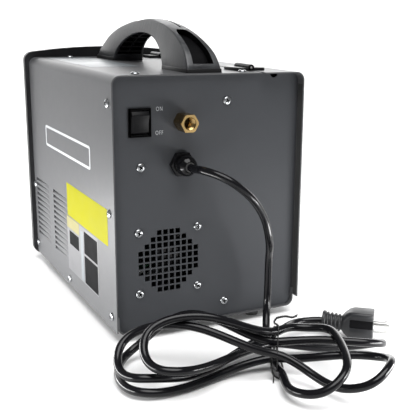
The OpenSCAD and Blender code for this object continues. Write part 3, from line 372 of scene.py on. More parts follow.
def two_tone(name, first, second, axis, edge, rough):
    """One colour below a place on an axis, and another above it."""
    material, tree, shader, place = new_material(name)
    split = node(tree, "ShaderNodeSeparateXYZ")
    tree.links.new(place, split.inputs["Vector"])
    above = node(tree, "ShaderNodeMath", operation="GREATER_THAN")
    above.inputs[1].default_value = edge
    tree.links.new(split.outputs[axis], above.inputs[0])
    grain = noise(tree, place, 900, 4)
    mix = node(tree, "ShaderNodeMix", data_type="RGBA")
    tree.links.new(above.outputs["Value"], mix.inputs["Factor"])
    for socket, colour in (("A", first), ("B", second)):
        tree.links.new(mottled(tree, grain, colour, 0.06), mix.inputs[socket])
    surface(tree, shader, mix.outputs["Result"],
            between(tree, grain, rough - 0.04, rough + 0.04), grain, 0.00002)
    return material


MATERIALS = {
    "shell_paint": grained("satin_paint", (0.066, 0.067, 0.070), 0.42, grain=1500,
                           mottle=0.012, rough_spread=0.01, specular=0.2),
    # The rear panel's colour is the case paint made darker, as painted shade for the panel's dimmer
    # light
    "panel_paint": grained("panel_satin_shaded", (0.044, 0.046, 0.050), 0.45, grain=1500,
                           mottle=0.012, rough_spread=0.01, specular=0.04),
    "black_moulding": grained("grained_black", (0.010, 0.010, 0.011), 0.4, grain=1100,
                              grain_depth=0.00005, mottle=0.12, specular=0.25),
    "switch_black": grained("switch_gloss", (0.004, 0.004, 0.0045), 0.34, grain=700,
                            grain_depth=0.000004, rough_spread=0.02, specular=0.08),
    "rubber": grained("foot_rubber", (0.025, 0.025, 0.025), 0.72, grain=600),
    "zinc": grained("zinc_plate", (0.34, 0.35, 0.36), 0.3, grain=700, metal=1, grain_depth=0.00001),
    "brass": grained("turned_brass", (0.34, 0.235, 0.10), 0.24, grain=500, metal=1,
                     grain_depth=0.00001),
    "steel": lined("ground_steel", (0.55, 0.55, 0.54), 0.3, "X", 900, 0.000006),
    "black_nylon": grained("black_nylon", (0.003, 0.003, 0.0035), 0.13, grain=800,
                           grain_depth=0.000004, rough_spread=0.02, specular=0.2),
    "aluminium": lined("milled_aluminium", (0.72, 0.73, 0.74), 0.34, "Y", 420, 0.00001),
    "board": board_material(),
    "capacitor_sleeve": two_tone("capacitor_sleeve", (0.02, 0.02, 0.06), (0.7, 0.7, 0.7), "Z",
                                 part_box("capacitors")[1].z - 0.0008, 0.3),
    "copper": lined("wound_copper", (0.62, 0.30, 0.15), 0.3, "X", 175, 0.0003),
    "black_paint": grained("hinge_paint", (0.008, 0.008, 0.009), 0.34, grain=1200, specular=0.3),
    "lamp_lens": grained("amber_lens", (0.75, 0.28, 0.02), 0.15, grain=300, coat=0.6),
    "cord_jacket": grained("cord_vinyl", (0.004, 0.004, 0.005), 0.17, grain=450,
                           grain_depth=0.00001, mottle=0.1, specular=0.25),
    "tie_vinyl": grained("tie_vinyl", (0.005, 0.005, 0.005), 0.32, grain=900, specular=0.3),
}
INK = grained("white_ink", (0.42, 0.43, 0.44), 0.5, grain=2500, mottle=0.06)
YELLOW = grained("yellow_film", (0.24, 0.23, 0.002), 0.5, grain=500, mottle=0.03, specular=0.03)
SILVER = grained("silver_film", (0.085, 0.085, 0.09), 0.32, grain=500, metal=0.3, mottle=0.06)
# Painted shade: a near-black material for the walls of recesses, slots and hollows cut into parts
PAINTED_RECESS_SHADE = grained("painted_recess_shade", (0.003, 0.003, 0.0035), 0.6, grain=1100, specular=0.05)
PRINT = grained("black_print", (0.002, 0.002, 0.0025), 0.5, grain=500, specular=0.02)
CREAM = grained("cream_film", (0.19, 0.17, 0.055), 0.35, grain=500, mottle=0.04, specular=0.15)
PALE_FILM = grained("pale_film", (0.13, 0.145, 0.155), 0.35, grain=500, mottle=0.05, specular=0.3)


def dress(obj, material):
    obj.data.materials.clear()
    obj.data.materials.append(material)


for row in frame["record"]["subparts"]:
    dress(frame["nodes"][row["node"]], MATERIALS[row["material_slot"]])
dress(cord, MATERIALS["cord_jacket"])


# ---- mesh helpers

def piece(name, mesh, material, body="chassis", slot=None, replaces=()):
    """A finished mesh as an object that rides on a body; with no material it keeps its own."""
    obj = linked(name, mesh)
    if material is not None:
        dress(obj, material)
    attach(obj, body)
    if replaces:
        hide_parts(*replaces)
    return obj


def filled(name, shape):
    """A mesh from a bmesh, which is freed."""
    mesh = bpy.data.meshes.new(name)
    shape.to_mesh(mesh)
    shape.free()
    return mesh


def mesh_of(name, make, *args):
    """A mesh from a function that fills a bmesh."""
    shape = bmesh.new()
    make(shape, *args)
    bmesh.ops.recalc_face_normals(shape, faces=shape.faces)
    return filled(name, shape)


def shaped(name, material, make, *args, **settings):
    """A piece from a function that fills a bmesh."""
    return piece(name, mesh_of(name, make, *args), material, **settings)


def skin(shape, rings, closed=True):
    """Faces over rings that have the same number of points, with a cap at each end."""
    rows = [[shape.verts.new(p) for p in ring] for ring in rings]
    for row, following in zip(rows, rows[1:]):
        for k in range(len(row)):
            n = (k + 1) % len(row)
            shape.faces.new((row[k], row[n], following[n], following[k]))
    if closed:
        shape.faces.new(rows[0])
        shape.faces.new(rows[-1])
    return rows


def frame_along(direction):
    """Two directions square to a given one."""
    forward = Vector(direction).normalized()
    helper = Vector((0, 0, 1)) if abs(forward.z) < 0.9 else Vector((1, 0, 0))
    side = forward.cross(helper).normalized()
    return side, forward.cross(side)


def lathe(shape, start, direction, profile, steps=48):
    """A turned solid: profile is (distance along, radius), in mm, and closes on the axis."""
    side, other = frame_along(direction)
    forward = Vector(direction).normalized()
    turns = [2 * pi * k / steps for k in range(steps)]
    skin(shape, [[start + forward * (along * MM)
                  + radius * MM * (side * cos(turn) + other * sin(turn))
                  for turn in turns] for along, radius in profile])


def slab(shape, corners, normal, depth):
    """A flat plate with the given outline, pushed out along its normal, in millimetres."""
    skin(shape, [corners, [c + Vector(normal) * (depth * MM) for c in corners]])


def rounded(width, height, radius, steps=5):
    """The outline of a rectangle with round corners, about the origin."""
    points = []
    for sx, sy, start in ((1, -1, -90), (1, 1, 0), (-1, 1, 90), (-1, -1, 180)):
        for k in range(steps + 1):
            turn = radians(start + 90 * k / steps)
            points.append((sx * (width / 2 - radius) + radius * cos(turn),
                           sy * (height / 2 - radius) + radius * sin(turn)))
    return points


def evaluated_mesh(obj):
    """A mesh of what an object looks like with its modifiers or its font."""
    bpy.context.view_layer.update()
    graph = bpy.context.evaluated_depsgraph_get()
    return bpy.data.meshes.new_from_object(obj.evaluated_get(graph))


def modify(obj, kind, **settings):
    """Adds a modifier and applies it."""
    modifier = obj.modifiers.new(kind.lower(), kind)
    for key, value in settings.items():
        setattr(modifier, key, value)
    mesh = evaluated_mesh(obj)
    obj.modifiers.clear()
    obj.data = mesh


def cut(obj, mesh, recess_shade=None):
    """Cuts one mesh out of an object; the cut's walls may get a dark material of painted shade."""
    cutter = linked("cutter", mesh)
    if recess_shade is not None:
        mesh.materials.append(recess_shade)
    modify(obj, "BOOLEAN", operation="DIFFERENCE", object=cutter, solver="EXACT",
           material_mode="TRANSFER" if recess_shade is not None else "INDEX")
    bpy.data.objects.remove(cutter)


def smooth(obj, angle=35):
    """Smooth shading with crisp edges over an angle."""
    mesh = obj.data
    mesh.shade_smooth()
    shape = bmesh.new()
    shape.from_mesh(mesh)
    for edge in shape.edges:
        if len(edge.link_faces) == 2 and edge.calc_face_angle(0) > radians(angle):
            edge.smooth = False
    shape.to_mesh(mesh)
    shape.free()


def round_edges(obj, width, segments, angle=30):
    """Rounds the edges over an angle, with a width in millimetres."""
    modify(obj, "BEVEL", width=width * MM, segments=segments, limit_method="ANGLE",
           angle_limit=radians(angle), harden_normals=False)


def moulded(name, slot, make, *args, rounding=None, angle=35, **settings):
    """A smooth piece with a slot's own material, from a function that fills a bmesh."""
    obj = shaped(name, MATERIALS[slot], make, *args, slot=slot, **settings)
    if rounding is not None:
        round_edges(obj, *rounding)
    smooth(obj, angle)


# ---- screws

REAR_SCREWS = [(-21, 259), (83.6, 190), (-19.5, 20)]
SIDE_SCREWS = [(-12, 19), (-180, 12), (-343, 19), (-10, 260), (-12, 139), (-343, 108)]
TOP_SCREWS = [(60, -339), (84, -11), (-46, -11)]
FAN_MIDDLE = (51.2, 80.6)
FAN_PITCH = 71.5
HEAD_R = 4.8
HEAD_H = 2.6
TURN_STEP = 37
# Recess: height over the case, half length, half width, at its bottom and above the head
RECESS = [(0.8, 1.3, 0.5), (3.4, 3.3, 0.95)]


def screw_mesh():
    """A pan head with a cross recess whose walls are painted shade, on the origin and pointing
    along +Z.
    """
    profile = [(0, HEAD_R - 0.3), (0.3, HEAD_R), (0.9, HEAD_R), (1.5, HEAD_R * 0.93),
               (2.1, HEAD_R * 0.74), (2.45, HEAD_R * 0.5), (HEAD_H, HEAD_R * 0.22),
               (HEAD_H, 0.02)]
    head = linked("head", mesh_of("head", lathe, Vector(), (0, 0, 1), profile, 32))
    dress(head, MATERIALS["zinc"])

    def groove(shape, turn):
        spin = Matrix.Rotation(radians(turn), 4, "Z")
        rings = [[spin @ Vector((sx * w * MM, sy * t * MM, z * MM))
                  for sx, sy in ((-1, -1), (1, -1), (1, 1), (-1, 1))]
                 for z, w, t in RECESS]
        skin(shape, rings)

    for turn in (0, 90):
        cut(head, mesh_of("groove", groove, turn), PAINTED_RECESS_SHADE)
    mesh = head.data
    bpy.data.objects.remove(head)
    return mesh


SCREW = screw_mesh()


def screws(name, places, normal, first_turn, replaced=()):
    """Copies of the screw head as one mesh, each turned a little further than the last."""
    shape = bmesh.new()
    stand = Matrix((*frame_along(normal), Vector(normal))).transposed().to_4x4()
    for i, place in enumerate(places):
        part = SCREW.copy()
        turn = Matrix.Rotation(radians(first_turn + TURN_STEP * i), 4, "Z")
        part.transform(Matrix.Translation(place) @ stand @ turn)
        shape.from_mesh(part)
    mesh = bpy.data.meshes.new(name)
    for material in SCREW.materials:
        mesh.materials.append(material)
    shape.to_mesh(mesh)
    shape.free()
    obj = piece(name, mesh, None, slot="zinc", replaces=replaced)
    smooth(obj, 28)


screws("rear_screw_heads", [at(x, 0, z) for x, z in REAR_SCREWS], (0, 1, 0), 15, ["rear_screws"])
screws("fan_screw_heads",
       [at(FAN_MIDDLE[0] + sx * FAN_PITCH / 2, 0, FAN_MIDDLE[1] + sz * FAN_PITCH / 2)
        for sx in (-1, 1) for sz in (-1, 1)], (0, 1, 0), 50, ["fan_screws"])
screws("side_screw_heads", [at(CASE_SIDE, y, z) for y, z in SIDE_SCREWS], (1, 0, 0), 20,
       ["cover_screws"])
screws("top_screw_heads", [at(x, y, CASE_H) for x, y in TOP_SCREWS], (0, 0, 1), 70)


# ---- words beside the switch

WORDS = {"ON": (61, 253), "OFF": (61.3, 227)}
WORD_H = 4.6
CAPITAL_SHARE = 0.7
WORD_SQUEEZE = 0.72
LETTER_SPACE = 1.2
STROKE_CHANGE = -0.1
INK_T = 0.04


def word(text, x, z):
    """A narrow printed word on the rear panel, in strokes a little thinner than the font's."""
    name = f"switch_{text.lower()}_word"
    data = bpy.data.curves.new(name, "FONT")
    data.body = text
    data.size = WORD_H / CAPITAL_SHARE * MM
    data.space_character = LETTER_SPACE
    data.offset = STROKE_CHANGE * MM
    data.align_x = "CENTER"
    data.align_y = "CENTER"
    data.extrude = INK_T * MM
    obj = linked(name, data)
    turn = Matrix(((-1, 0, 0), (0, 0, 1), (0, 1, 0))).transposed().to_4x4()
    obj.matrix_world = (Matrix.Translation(at(x, 0.05, z)) @ turn
                        @ Matrix.Diagonal((WORD_SQUEEZE, 1, 1, 1)))
    mesh = evaluated_mesh(obj)
    mesh.transform(obj.matrix_world)
    bpy.data.objects.remove(obj)
    piece(name, mesh, INK)


for text, (x, z) in WORDS.items():
    word(text, x, z)


# ---- labels on the side

# Boxes on the +X side, as (front y, rear y, low z, high z)
NAME_FRAME = (-273, -76, 176, 204)
NAME_LINE = 3.2
YELLOW_BOX = (-180, -19.5, 99.5, 142)
RATING_BOX = (-184, -57, 26, 98)
RATING_BLOCKS = [(-174, -134, 62, 80), (-111, -60, 66, 94), (-111, -60, 28, 63)]
RATING_BAND = (-184, -131, 83, 98)
RATING_COLUMN = (-126, -115, 28, 92)
TOP_LABEL = [(34, -330), (96, -330), (96, -128), (34, -128)]
FILM_T = 0.12


def box_corners(y0, y1, z0, z1, radius):
    """A box's outline with round corners."""
    return [((y0 + y1) / 2 + y, (z0 + z1) / 2 + z) for y, z in rounded(y1 - y0, z1 - z0, radius)]


def side_plate(name, box, radius, material, proud):
    """A thin plate on the +X side."""
    points = [at(CASE_SIDE, y, z) for y, z in box_corners(*box, radius)]
    shaped(name, material, slab, points, (1, 0, 0), proud)


def name_frame():
    """A plain rectangular line on the +X side."""
    y0, y1, z0, z1 = NAME_FRAME
    outer = box_corners(y0, y1, z0, z1, 4)
    inner = box_corners(y0 + NAME_LINE, y1 - NAME_LINE, z0 + NAME_LINE, z1 - NAME_LINE, 0.8)

    def line(shape):
        rings = [[at(CASE_SIDE + proud, y, z) for y, z in outline]
                 for proud, outline in ((0, outer), (FILM_T, outer), (FILM_T, inner), (0, inner))]
        rows = skin(shape, rings, closed=False)
        first, last = rows[0], rows[-1]
        for k in range(len(first)):
            n = (k + 1) % len(first)
            shape.faces.new((first[n], first[k], last[k], last[n]))

    shaped("name_frame", INK, line)


name_frame()
side_plate("yellow_label", YELLOW_BOX, 1, YELLOW, 0.15)
side_plate("rating_label", RATING_BOX, 1, SILVER, 0.1)
for i, box in enumerate(RATING_BLOCKS):
    side_plate(f"rating_block_{i + 1}", box, 0.6, PRINT, 0.2)
side_plate("rating_band", RATING_BAND, 0.6, CREAM, 0.2)
shaped("top_label", PALE_FILM, slab, [at(x, y, CASE_H) for x, y in TOP_LABEL], (0, 0, 1), FILM_T)
side_plate("rating_column", RATING_COLUMN, 0.6, PALE_FILM, 0.2)


# ---- cable gland

GLAND_X, GLAND_Z = 35.5, 191
GLAND_FLATS = 26
GLAND_HEX = 7
GLAND_EDGE = 0.7
GLAND_DOME_R = 11.5
# The dome: distance past the hexagon, share of its radius
GLAND_DOME = [(-0.2, 0.93), (0.6, 0.97), (8.5, 1.0), (11, 0.98), (13.5, 0.91), (15.5, 0.80),
              (17, 0.66), (18, 0.56), (17.6, 0.50), (15, 0.47)]
FLUTES = 12
FLUTE_DEPTH = 0.35
DOME_STEPS = 96


def hexagon(flats):
    corner = flats / sqrt(3)
    return [(corner * cos(radians(60 * k)), corner * sin(radians(60 * k)))
            for k in range(6)]


def make_gland():
    """A hexagonal body, a domed nut with flutes round it, and the soft seal that it closes on."""
    def nut(shape):
        rings = [[at(GLAND_X + x * scale, y, GLAND_Z + z * scale) for x, z in hexagon(GLAND_FLATS)]
                 for y, scale in ((0, 0.96), (GLAND_EDGE, 1), (GLAND_HEX - GLAND_EDGE, 1),
                                  (GLAND_HEX, 0.96))]
        skin(shape, rings)

    moulded("gland_hex", "black_nylon", nut, rounding=(0.5, 2), replaces=["gland_body"])

    def dome(shape):
        rings = []
        for along, share in GLAND_DOME:
            flute = FLUTE_DEPTH if share > 0.95 else 0
            ring = []
            for k in range(DOME_STEPS):
                turn = 2 * pi * k / DOME_STEPS
                radius = GLAND_DOME_R * share - flute * max(0, cos(FLUTES * turn)) ** 4
                ring.append(at(GLAND_X + radius * cos(turn), GLAND_HEX + along,
                               GLAND_Z + radius * sin(turn)))
            rings.append(ring)
        skin(shape, rings)

    moulded("gland_dome", "black_nylon", dome, replaces=["gland_nut"])

    moulded("gland_seal", "rubber", lathe, at(GLAND_X, GLAND_HEX + 15, GLAND_Z), (0, 1, 0),
            [(0, 5.3), (2.6, 5.6), (3.6, 5.4), (3.9, 4.7), (3.9, 3.5)])


make_gland()


# ---- plug

PLUG_T = 25
PLUG_LEN = 36
# The grip: distance along it, width, thickness, corner radius
GRIP_SECTIONS = [(0, 18, 16, 7), (2, 23, 19, 8), (5, 28.5, 22, 8), (8.5, 32.5, 24, 6),
                 (13, 34.6, 24.8, 4), (22, 34.8, PLUG_T, 3.5), (PLUG_LEN - 1.2, 34.8, PLUG_T, 3),
                 (PLUG_LEN, 33, 23.4, 2.5)]
KEYSTONE_FROM, KEYSTONE_RUN, KEYSTONE_SHARE = -4, 13, 0.35
# The finger channel: length, height and corner radius, and its middle along the grip and up
CHANNEL = (29, 10.5, 1.5)
CHANNEL_AT = (24, 4)
CHANNEL_DEPTH = 2.8
BOOT_LEN = 23
BOOT_RIBS = 5
BLADE_GAP = 12.7
BLADE_LEN = 18
BLADE_W = 6.4
BLADE_T = 1.5
BLADE_CUT = 1.5
BLADE_ROOT = BOOT_LEN + PLUG_LEN - 0.5
HOLE_R = 1.6
HOLE_FROM_TIP = 4.5
PIN_R = 2.4
PIN_LEN = BLADE_LEN + 3
PIN_ACROSS = -7


def plug_place(across, along, up):
    """A point on the plug: across its thickness, along it, and up from its middle."""
    forward, side = ahead(PLUG_HEADING), ahead(PLUG_HEADING - 90)
    return on_floor(Vector(PLUG_START) + forward * along + side * across + Vector((0, 0, up)))


def plug_grip(black):
    """The moulded grip: round shoulders at the boot, and a finger channel on each broad side, whose
    walls are painted shade.
    """
    def body(shape):
        skin(shape, [[plug_place(y * keystone(x), BOOT_LEN + along, x)
                      for x, y in rounded(wide, thick, corner, 6)]
                     for along, wide, thick, corner in GRIP_SECTIONS])

    def keystone(up):
        """The grip gets thinner towards its lower edge."""
        return 1 - KEYSTONE_SHARE * min(max((KEYSTONE_FROM - up) / KEYSTONE_RUN, 0), 1)

    grip = shaped("plug_grip", black, body, slot="cord_jacket", replaces=["plug_body"])

    def channel(shape, side):
        base = PLUG_T / 2 - CHANNEL_DEPTH
        along, up = CHANNEL_AT
        skin(shape, [[plug_place(side * depth, BOOT_LEN + along + x, up + z)
                      for x, z in rounded(*CHANNEL, 4)] for depth in (base, base + 4)])

    for side in (-1, 1):
        cut(grip, mesh_of("channel", channel, side), PAINTED_RECESS_SHADE)
    round_edges(grip, 0.5, 2, 40)
    smooth(grip, 40)
    return grip


def plug_boot(black):
    """The boot: a flange at the cord, then ribs that get smaller towards the grip."""
    def boot(shape):
        profile = [(0, 4.6), (0.2, 11.6), (0.9, 12.4), (3.4, 12.4), (4.0, 11.8), (4.2, 9.6)]
        pitch = (BOOT_LEN - 5) / (BOOT_RIBS - 1)
        for i in range(BOOT_RIBS - 1):
            start, radius = 4.9 + i * pitch, 11.4 - 0.4 * i
            profile += [(start, 9.6 - 0.3 * i), (start + 0.4, radius - 0.4), (start + 0.9, radius),
                        (start + pitch * 0.5, radius), (start + pitch * 0.6, radius - 0.4),
                        (start + pitch * 0.7, 9.4 - 0.3 * i)]
        profile += [(BOOT_LEN + 4, 8.2), (BOOT_LEN + 4, 1)]
        lathe(shape, plug_place(0, 0, 0), ahead(PLUG_HEADING), profile, 40)

    obj = shaped("plug_boot", black, boot, slot="cord_jacket")
    smooth(obj)
    return obj


def plug_blade(side):
    """A flat blade with a hole near its end."""
    def blade(shape):
        up, end = BLADE_W / 2, BLADE_LEN - BLADE_CUT
        outline = [(0, -up), (end, -up), (BLADE_LEN, -2), (BLADE_LEN, 2), (end, up), (0, up)]
        middle = side * BLADE_GAP / 2
        skin(shape, [[plug_place(z, BLADE_ROOT + along, middle + across) for along, z in outline]
                     for across in (-BLADE_T / 2, BLADE_T / 2)])

    obj = linked("blade", mesh_of("blade", blade))
    tip = BOOT_LEN + PLUG_LEN + BLADE_LEN
    start = plug_place(0, tip - HOLE_FROM_TIP, side * BLADE_GAP / 2 - 3)
    cut(obj, mesh_of("hole", lathe, start, (0, 0, 1), [(0, HOLE_R), (6, HOLE_R)], 16))
    mesh = obj.data
    bpy.data.objects.remove(obj)
    return mesh


def plug_blades():
    """Two blades and a round ground pin, as one piece."""
    shape = bmesh.new()
    for side in (-1, 1):
        shape.from_mesh(plug_blade(side))
    pin = [(0, PIN_R), (PIN_LEN - 2, PIN_R), (PIN_LEN - 0.7, 1.9), (PIN_LEN, 0.8)]
    lathe(shape, plug_place(PIN_ACROSS, BLADE_ROOT, 0), ahead(PLUG_HEADING), pin, 24)
    return piece("plug_blades", filled("plug_blades", shape), MATERIALS["steel"], slot="steel",
                 replaces=["plug_pins"])


def make_plug():
    black = grained("plug_vinyl", (0.014, 0.0145, 0.016), 0.42, grain=1300,
                    grain_depth=0.00004, mottle=0.1, specular=0.4)
    return [plug_grip(black), plug_boot(black), plug_blades()]


plug_pieces = make_plug()


# ---- twist tie

TIE_LOOP = [
    (-44.5, 76.5, 18.5), (-41.5, 83, 23), (-34, 97.5, 28.5), (-25, 112.5, 30.5),
    (-14, 129.5, 22), (-1, 145.5, 19.5), (3.5, 157.5, 7), (-5.5, 160, 1.5), (-19, 138.5, 3),
    (-27.5, 115.5, 4.5), (-37, 96.5, 5), (-42.5, 83.5, 7.5),
]
UPPER_TAIL = [(-34, 97.5, 28.5), (-35, 100, 32.3), (-30.5, 100, 36), (-33, 100, 40.3),
              (-37, 100, 41.2), (-46, 100, 40.8), (-54, 100, 38.2), (-60.5, 100, 39.4)]
FRONT_STRAND = [(-39, 96, 28), (-28.5, 113, 38), (-19, 128.3, 45), (-14.8, 135.1, 45.2),
                (-7.4, 147, 39), (-1.1, 157.2, 31.8), (0.6, 160, 25), (0.5, 159.8, 16),
                (-1.1, 157.2, 9), (-4.3, 152, 5)]
LOWER_TAIL = [(3.5, 157.5, 7), (5, 161, 4), (7.5, 165, 2)]
TIE_R = 1.1
STRAND_R = 0.7
TIE_STEPS = 8
TWIST_STEP = 0.8
TWIST_PITCH = 5


def tie_piece(name, points, radius, sides):
    wire = wire_curve(name, points, radius * MM, sides)
    dress(wire, MATERIALS["tie_vinyl"])
    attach(wire, "chassis")
    return wire


def strand(name, line, turn, swing):
    """A thin wire that winds round a line, and starts on it."""
    points = []
    for i, p in enumerate(evenly(spline(line, TIE_STEPS), TWIST_STEP)):
        a = turn + i * TWIST_STEP / TWIST_PITCH * 2 * pi
        offset = Vector((0, cos(a), sin(a))) * swing * min(i / 6, 1)
        points.append(on_floor(p + offset))
    return tie_piece(name, points, STRAND_R, 2)


def make_tie():
    """The loop, the strand over the bundle's front and both ends; the upper is a twisted pair."""
    loop = tie_piece("tie_wire", [on_floor(p) for p in spline(TIE_LOOP, TIE_STEPS)], TIE_R, 3)
    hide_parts("cord_tie")
    return [loop, strand("tie_tail_upper_1", UPPER_TAIL, 0, 0.8),
            strand("tie_tail_upper_2", UPPER_TAIL, pi, 0.8),
            strand("tie_front", FRONT_STRAND, 0, 0.15),
            strand("tie_tail_lower", LOWER_TAIL, 0, 0.1)]


tie_pieces = make_tie()


# ---- handle

HANDLE_X = 4
HANDLE_W = 42.5
HANDLE_H = 57
HANDLE_TAPER = 0.54
HANDLE_ROUND = 2.2
HANDLE_FOOT = 4.5
HANDLE_FRONT, HANDLE_REAR = -322.5, -6
GAP_FRONT, GAP_REAR = -250, -79.5
GRIP_GAP = 39.4
# Side view of each arch: share of its length, share of its height
OUTER_ARCH = [(0, 0), (0.03, 0.17), (0.076, 0.363), (0.141, 0.584), (0.226, 0.756),
              (0.336, 0.882), (0.427, 0.947), (0.55, 1), (0.66, 0.94), (0.76, 0.842),
              (0.862, 0.667), (0.949, 0.421), (0.99, 0.17), (1, 0)]
INNER_ARCH = [(0, 0), (0.012, 0.1), (0.026, 0.228), (0.065, 0.42), (0.147, 0.64), (0.264, 0.832),
              (0.393, 0.954), (0.551, 1), (0.698, 0.944), (0.809, 0.805), (0.897, 0.609),
              (0.953, 0.406), (0.987, 0.178), (1, 0)]
ARCH_STEPS = 8
# Where along Y the pocket, the parting slot and the hollow under the grip begin and end
POCKET = (-74, -9)
POCKET_SHARE = 0.62
POCKET_DEPTH = 13
SLOT = (-135, -81)
HOLLOW = (-246, -86)
HOLLOW_SHARE = 0.82
RIB_MARGIN = 14
RIB_STEP = 6
RIB_HALF = 0.9
RIB_SHARE = 0.84
RIB_SPAN = (0.8, 9.5)
SPINE_MARGIN = 9
HANDLE_DARK, HANDLE_PALE = (0.018, 0.019, 0.021), (0.044, 0.046, 0.050)


def arch(front, rear, top, shape):
    """Points of the side view, as (0, place along the case, height over it)."""
    return [Vector((0, front + a * (rear - front), b * top)) for a, b in shape]


def handle_half(z):
    """Half width at a height over the case: the handle narrows towards its top."""
    return HANDLE_W / 2 * (1 - HANDLE_TAPER * (min(max(z, 0), HANDLE_H) / HANDLE_H) ** 1.5)


def across_handle(p, share):
    """A point of the side view, moved sideways by a share of the half width there."""
    return at(HANDLE_X + share * handle_half(p.z), p.y, CASE_H + max(p.z, 0))


def handle_ring(inner, outer):
    """The arch's cross-section between an inner and an outer point, with tight round corners."""
    up, thick = (outer - inner).normalized(), (outer - inner).length
    return [across_handle(inner + up * (z + thick / 2), x / (HANDLE_W / 2))
            for x, z in rounded(HANDLE_W, thick, HANDLE_ROUND, 5)]


def box_ring(p, up, middle, half, low, high):
    """A rectangle across the handle at a point of the side view, from low to high along up."""
    ring = []
    for side, h in ((-1, low), (1, low), (1, high), (-1, high)):
        place = p + up * h
        ring.append(at(HANDLE_X + middle + side * half, place.y, CASE_H + place.z))
    return ring


def band(shape, line, share, low, high):
    """A solid along a line of (place, up); share(s) is its part of the handle's width."""
    last = len(line) - 1
    skin(shape, [box_ring(p, up, 0, share(i / last) * handle_half(p.z), low, high)
                 for i, (p, up) in enumerate(line)])


def pocket_share(s):
    """The pocket's part of the handle's width: it has a round top."""
    return POCKET_SHARE * min(1, 0.45 + 0.55 * sqrt(min(s * 7, 1)))


def handle_pads(shape):
    """A dark pad under each foot."""
    for y0, y1 in ((HANDLE_FRONT, GAP_FRONT), (GAP_REAR, HANDLE_REAR)):
        outline = rounded(HANDLE_W + 0.5, y1 - y0 + 0.5, 1.6, 3)
        skin(shape, [[at(HANDLE_X + x * share, (y0 + y1) / 2 + y * share, CASE_H + z)
                      for x, y in outline]
                     for z, share in ((0.02, 1), (HANDLE_FOOT - 0.8, 1), (HANDLE_FOOT, 0.985))])


def make_handle():
    """The arch with its pocket, slot and hollow grip, whose walls are painted shade, the ribs in
    the hollow, and its pads.
    """
    outer = spline(arch(HANDLE_FRONT, HANDLE_REAR, HANDLE_H, OUTER_ARCH), ARCH_STEPS)
    inner = spline(arch(GAP_FRONT, GAP_REAR, GRIP_GAP, INNER_ARCH), ARCH_STEPS)
    ups = [(o - i).normalized() for i, o in zip(inner, outer)]

    def between_ys(line, y0, y1):
        return [(p, up) for p, up in zip(line, ups) if y0 < p.y < y1]

    rings = [handle_ring(i, o) for i, o in zip(inner, outer)]
    handle = shaped("handle_moulding", HANDLE_GRAIN, skin, rings, slot="black_moulding",
                    replaces=["handle"])

    def slot(shape):
        """A thin parting slot along the crown, which widens towards the pocket."""
        rings = []
        for p, up in between_ys(outer, *SLOT):
            s = (p.y - SLOT[0]) / (SLOT[1] - SLOT[0])
            rings.append(box_ring(p, up, 3.5 * s - 8, 0.3 + 1.2 * s, -4, 3))
        skin(shape, rings)

    # The walls of the pocket, the slot and the hollow are painted shade
    cut(handle, mesh_of("pocket", band, between_ys(outer, *POCKET), pocket_share,
                        -POCKET_DEPTH, 4), PAINTED_RECESS_SHADE)
    cut(handle, mesh_of("slot", slot), PAINTED_RECESS_SHADE)
    cut(handle, mesh_of("hollow", band, between_ys(inner, *HOLLOW), lambda s: HOLLOW_SHARE,
                        -4, 9), PAINTED_RECESS_SHADE)
    round_edges(handle, 0.9, 3, 42)
    smooth(handle, 40)

    def ribs(shape):
        """Ribs across the hollow, and a spine along it."""
        low, high = RIB_SPAN
        for k in range(RIB_MARGIN, len(inner) - RIB_MARGIN, RIB_STEP):
            p, up = inner[k], ups[k]
            along = Vector((0, up.z, -up.y))
            corners = [p + up * h + along * (side * RIB_HALF)
                       for side, h in ((-1, low), (1, low), (1, high), (-1, high))]
            skin(shape, [[across_handle(c, side * RIB_SHARE) for c in corners]
                         for side in (-1, 1)])
        spine = list(zip(inner, ups))[SPINE_MARGIN:-SPINE_MARGIN]
        skin(shape, [box_ring(p, up, 0, 1, low, high) for p, up in spine])

    moulded("handle_ribs", "black_moulding", ribs)
    moulded("handle_pads", "black_moulding", handle_pads)


def handle_grain():
    """Moulded plastic with a fine leathery grain and faint streaks that run across the arch."""
    material, tree, shader, place = new_material("handle_grain")
    streaks = noise(tree, place_of(tree, (0.3, 1.0, 0.12)), 260, 5, 0.6)
    fine = noise(tree, place, 1300, 3, 0.6)
    under = surface(tree, shader, ramp(tree, streaks, HANDLE_DARK, HANDLE_PALE),
                    between(tree, streaks, 0.30, 0.46), streaks, 0.0002)
    bump(tree, shader, fine, 0.00005, under=under)
    return material


HANDLE_GRAIN = handle_grain()
make_handle()


# ---- rocker

SWITCH_X, SWITCH_Z = 84.1, 239.2
SWITCH_W, SWITCH_H = 25.6, 31.4
RIM_SIDE, RIM_TOP = 2.4, 1.8
RIM_PROUD = 2
ROCKER_GAP = 0.35
ROCKER_TILT = 10
ROCKER_AXIS_Y = -2
# Side view of the rocker about its axis: out of the panel, up
ROCKER = [(-5, -9.3), (2.4, -13.3), (6.2, -9.6), (4.6, 0), (6.2, 9.6), (2.4, 13.3), (-5, 9.3)]


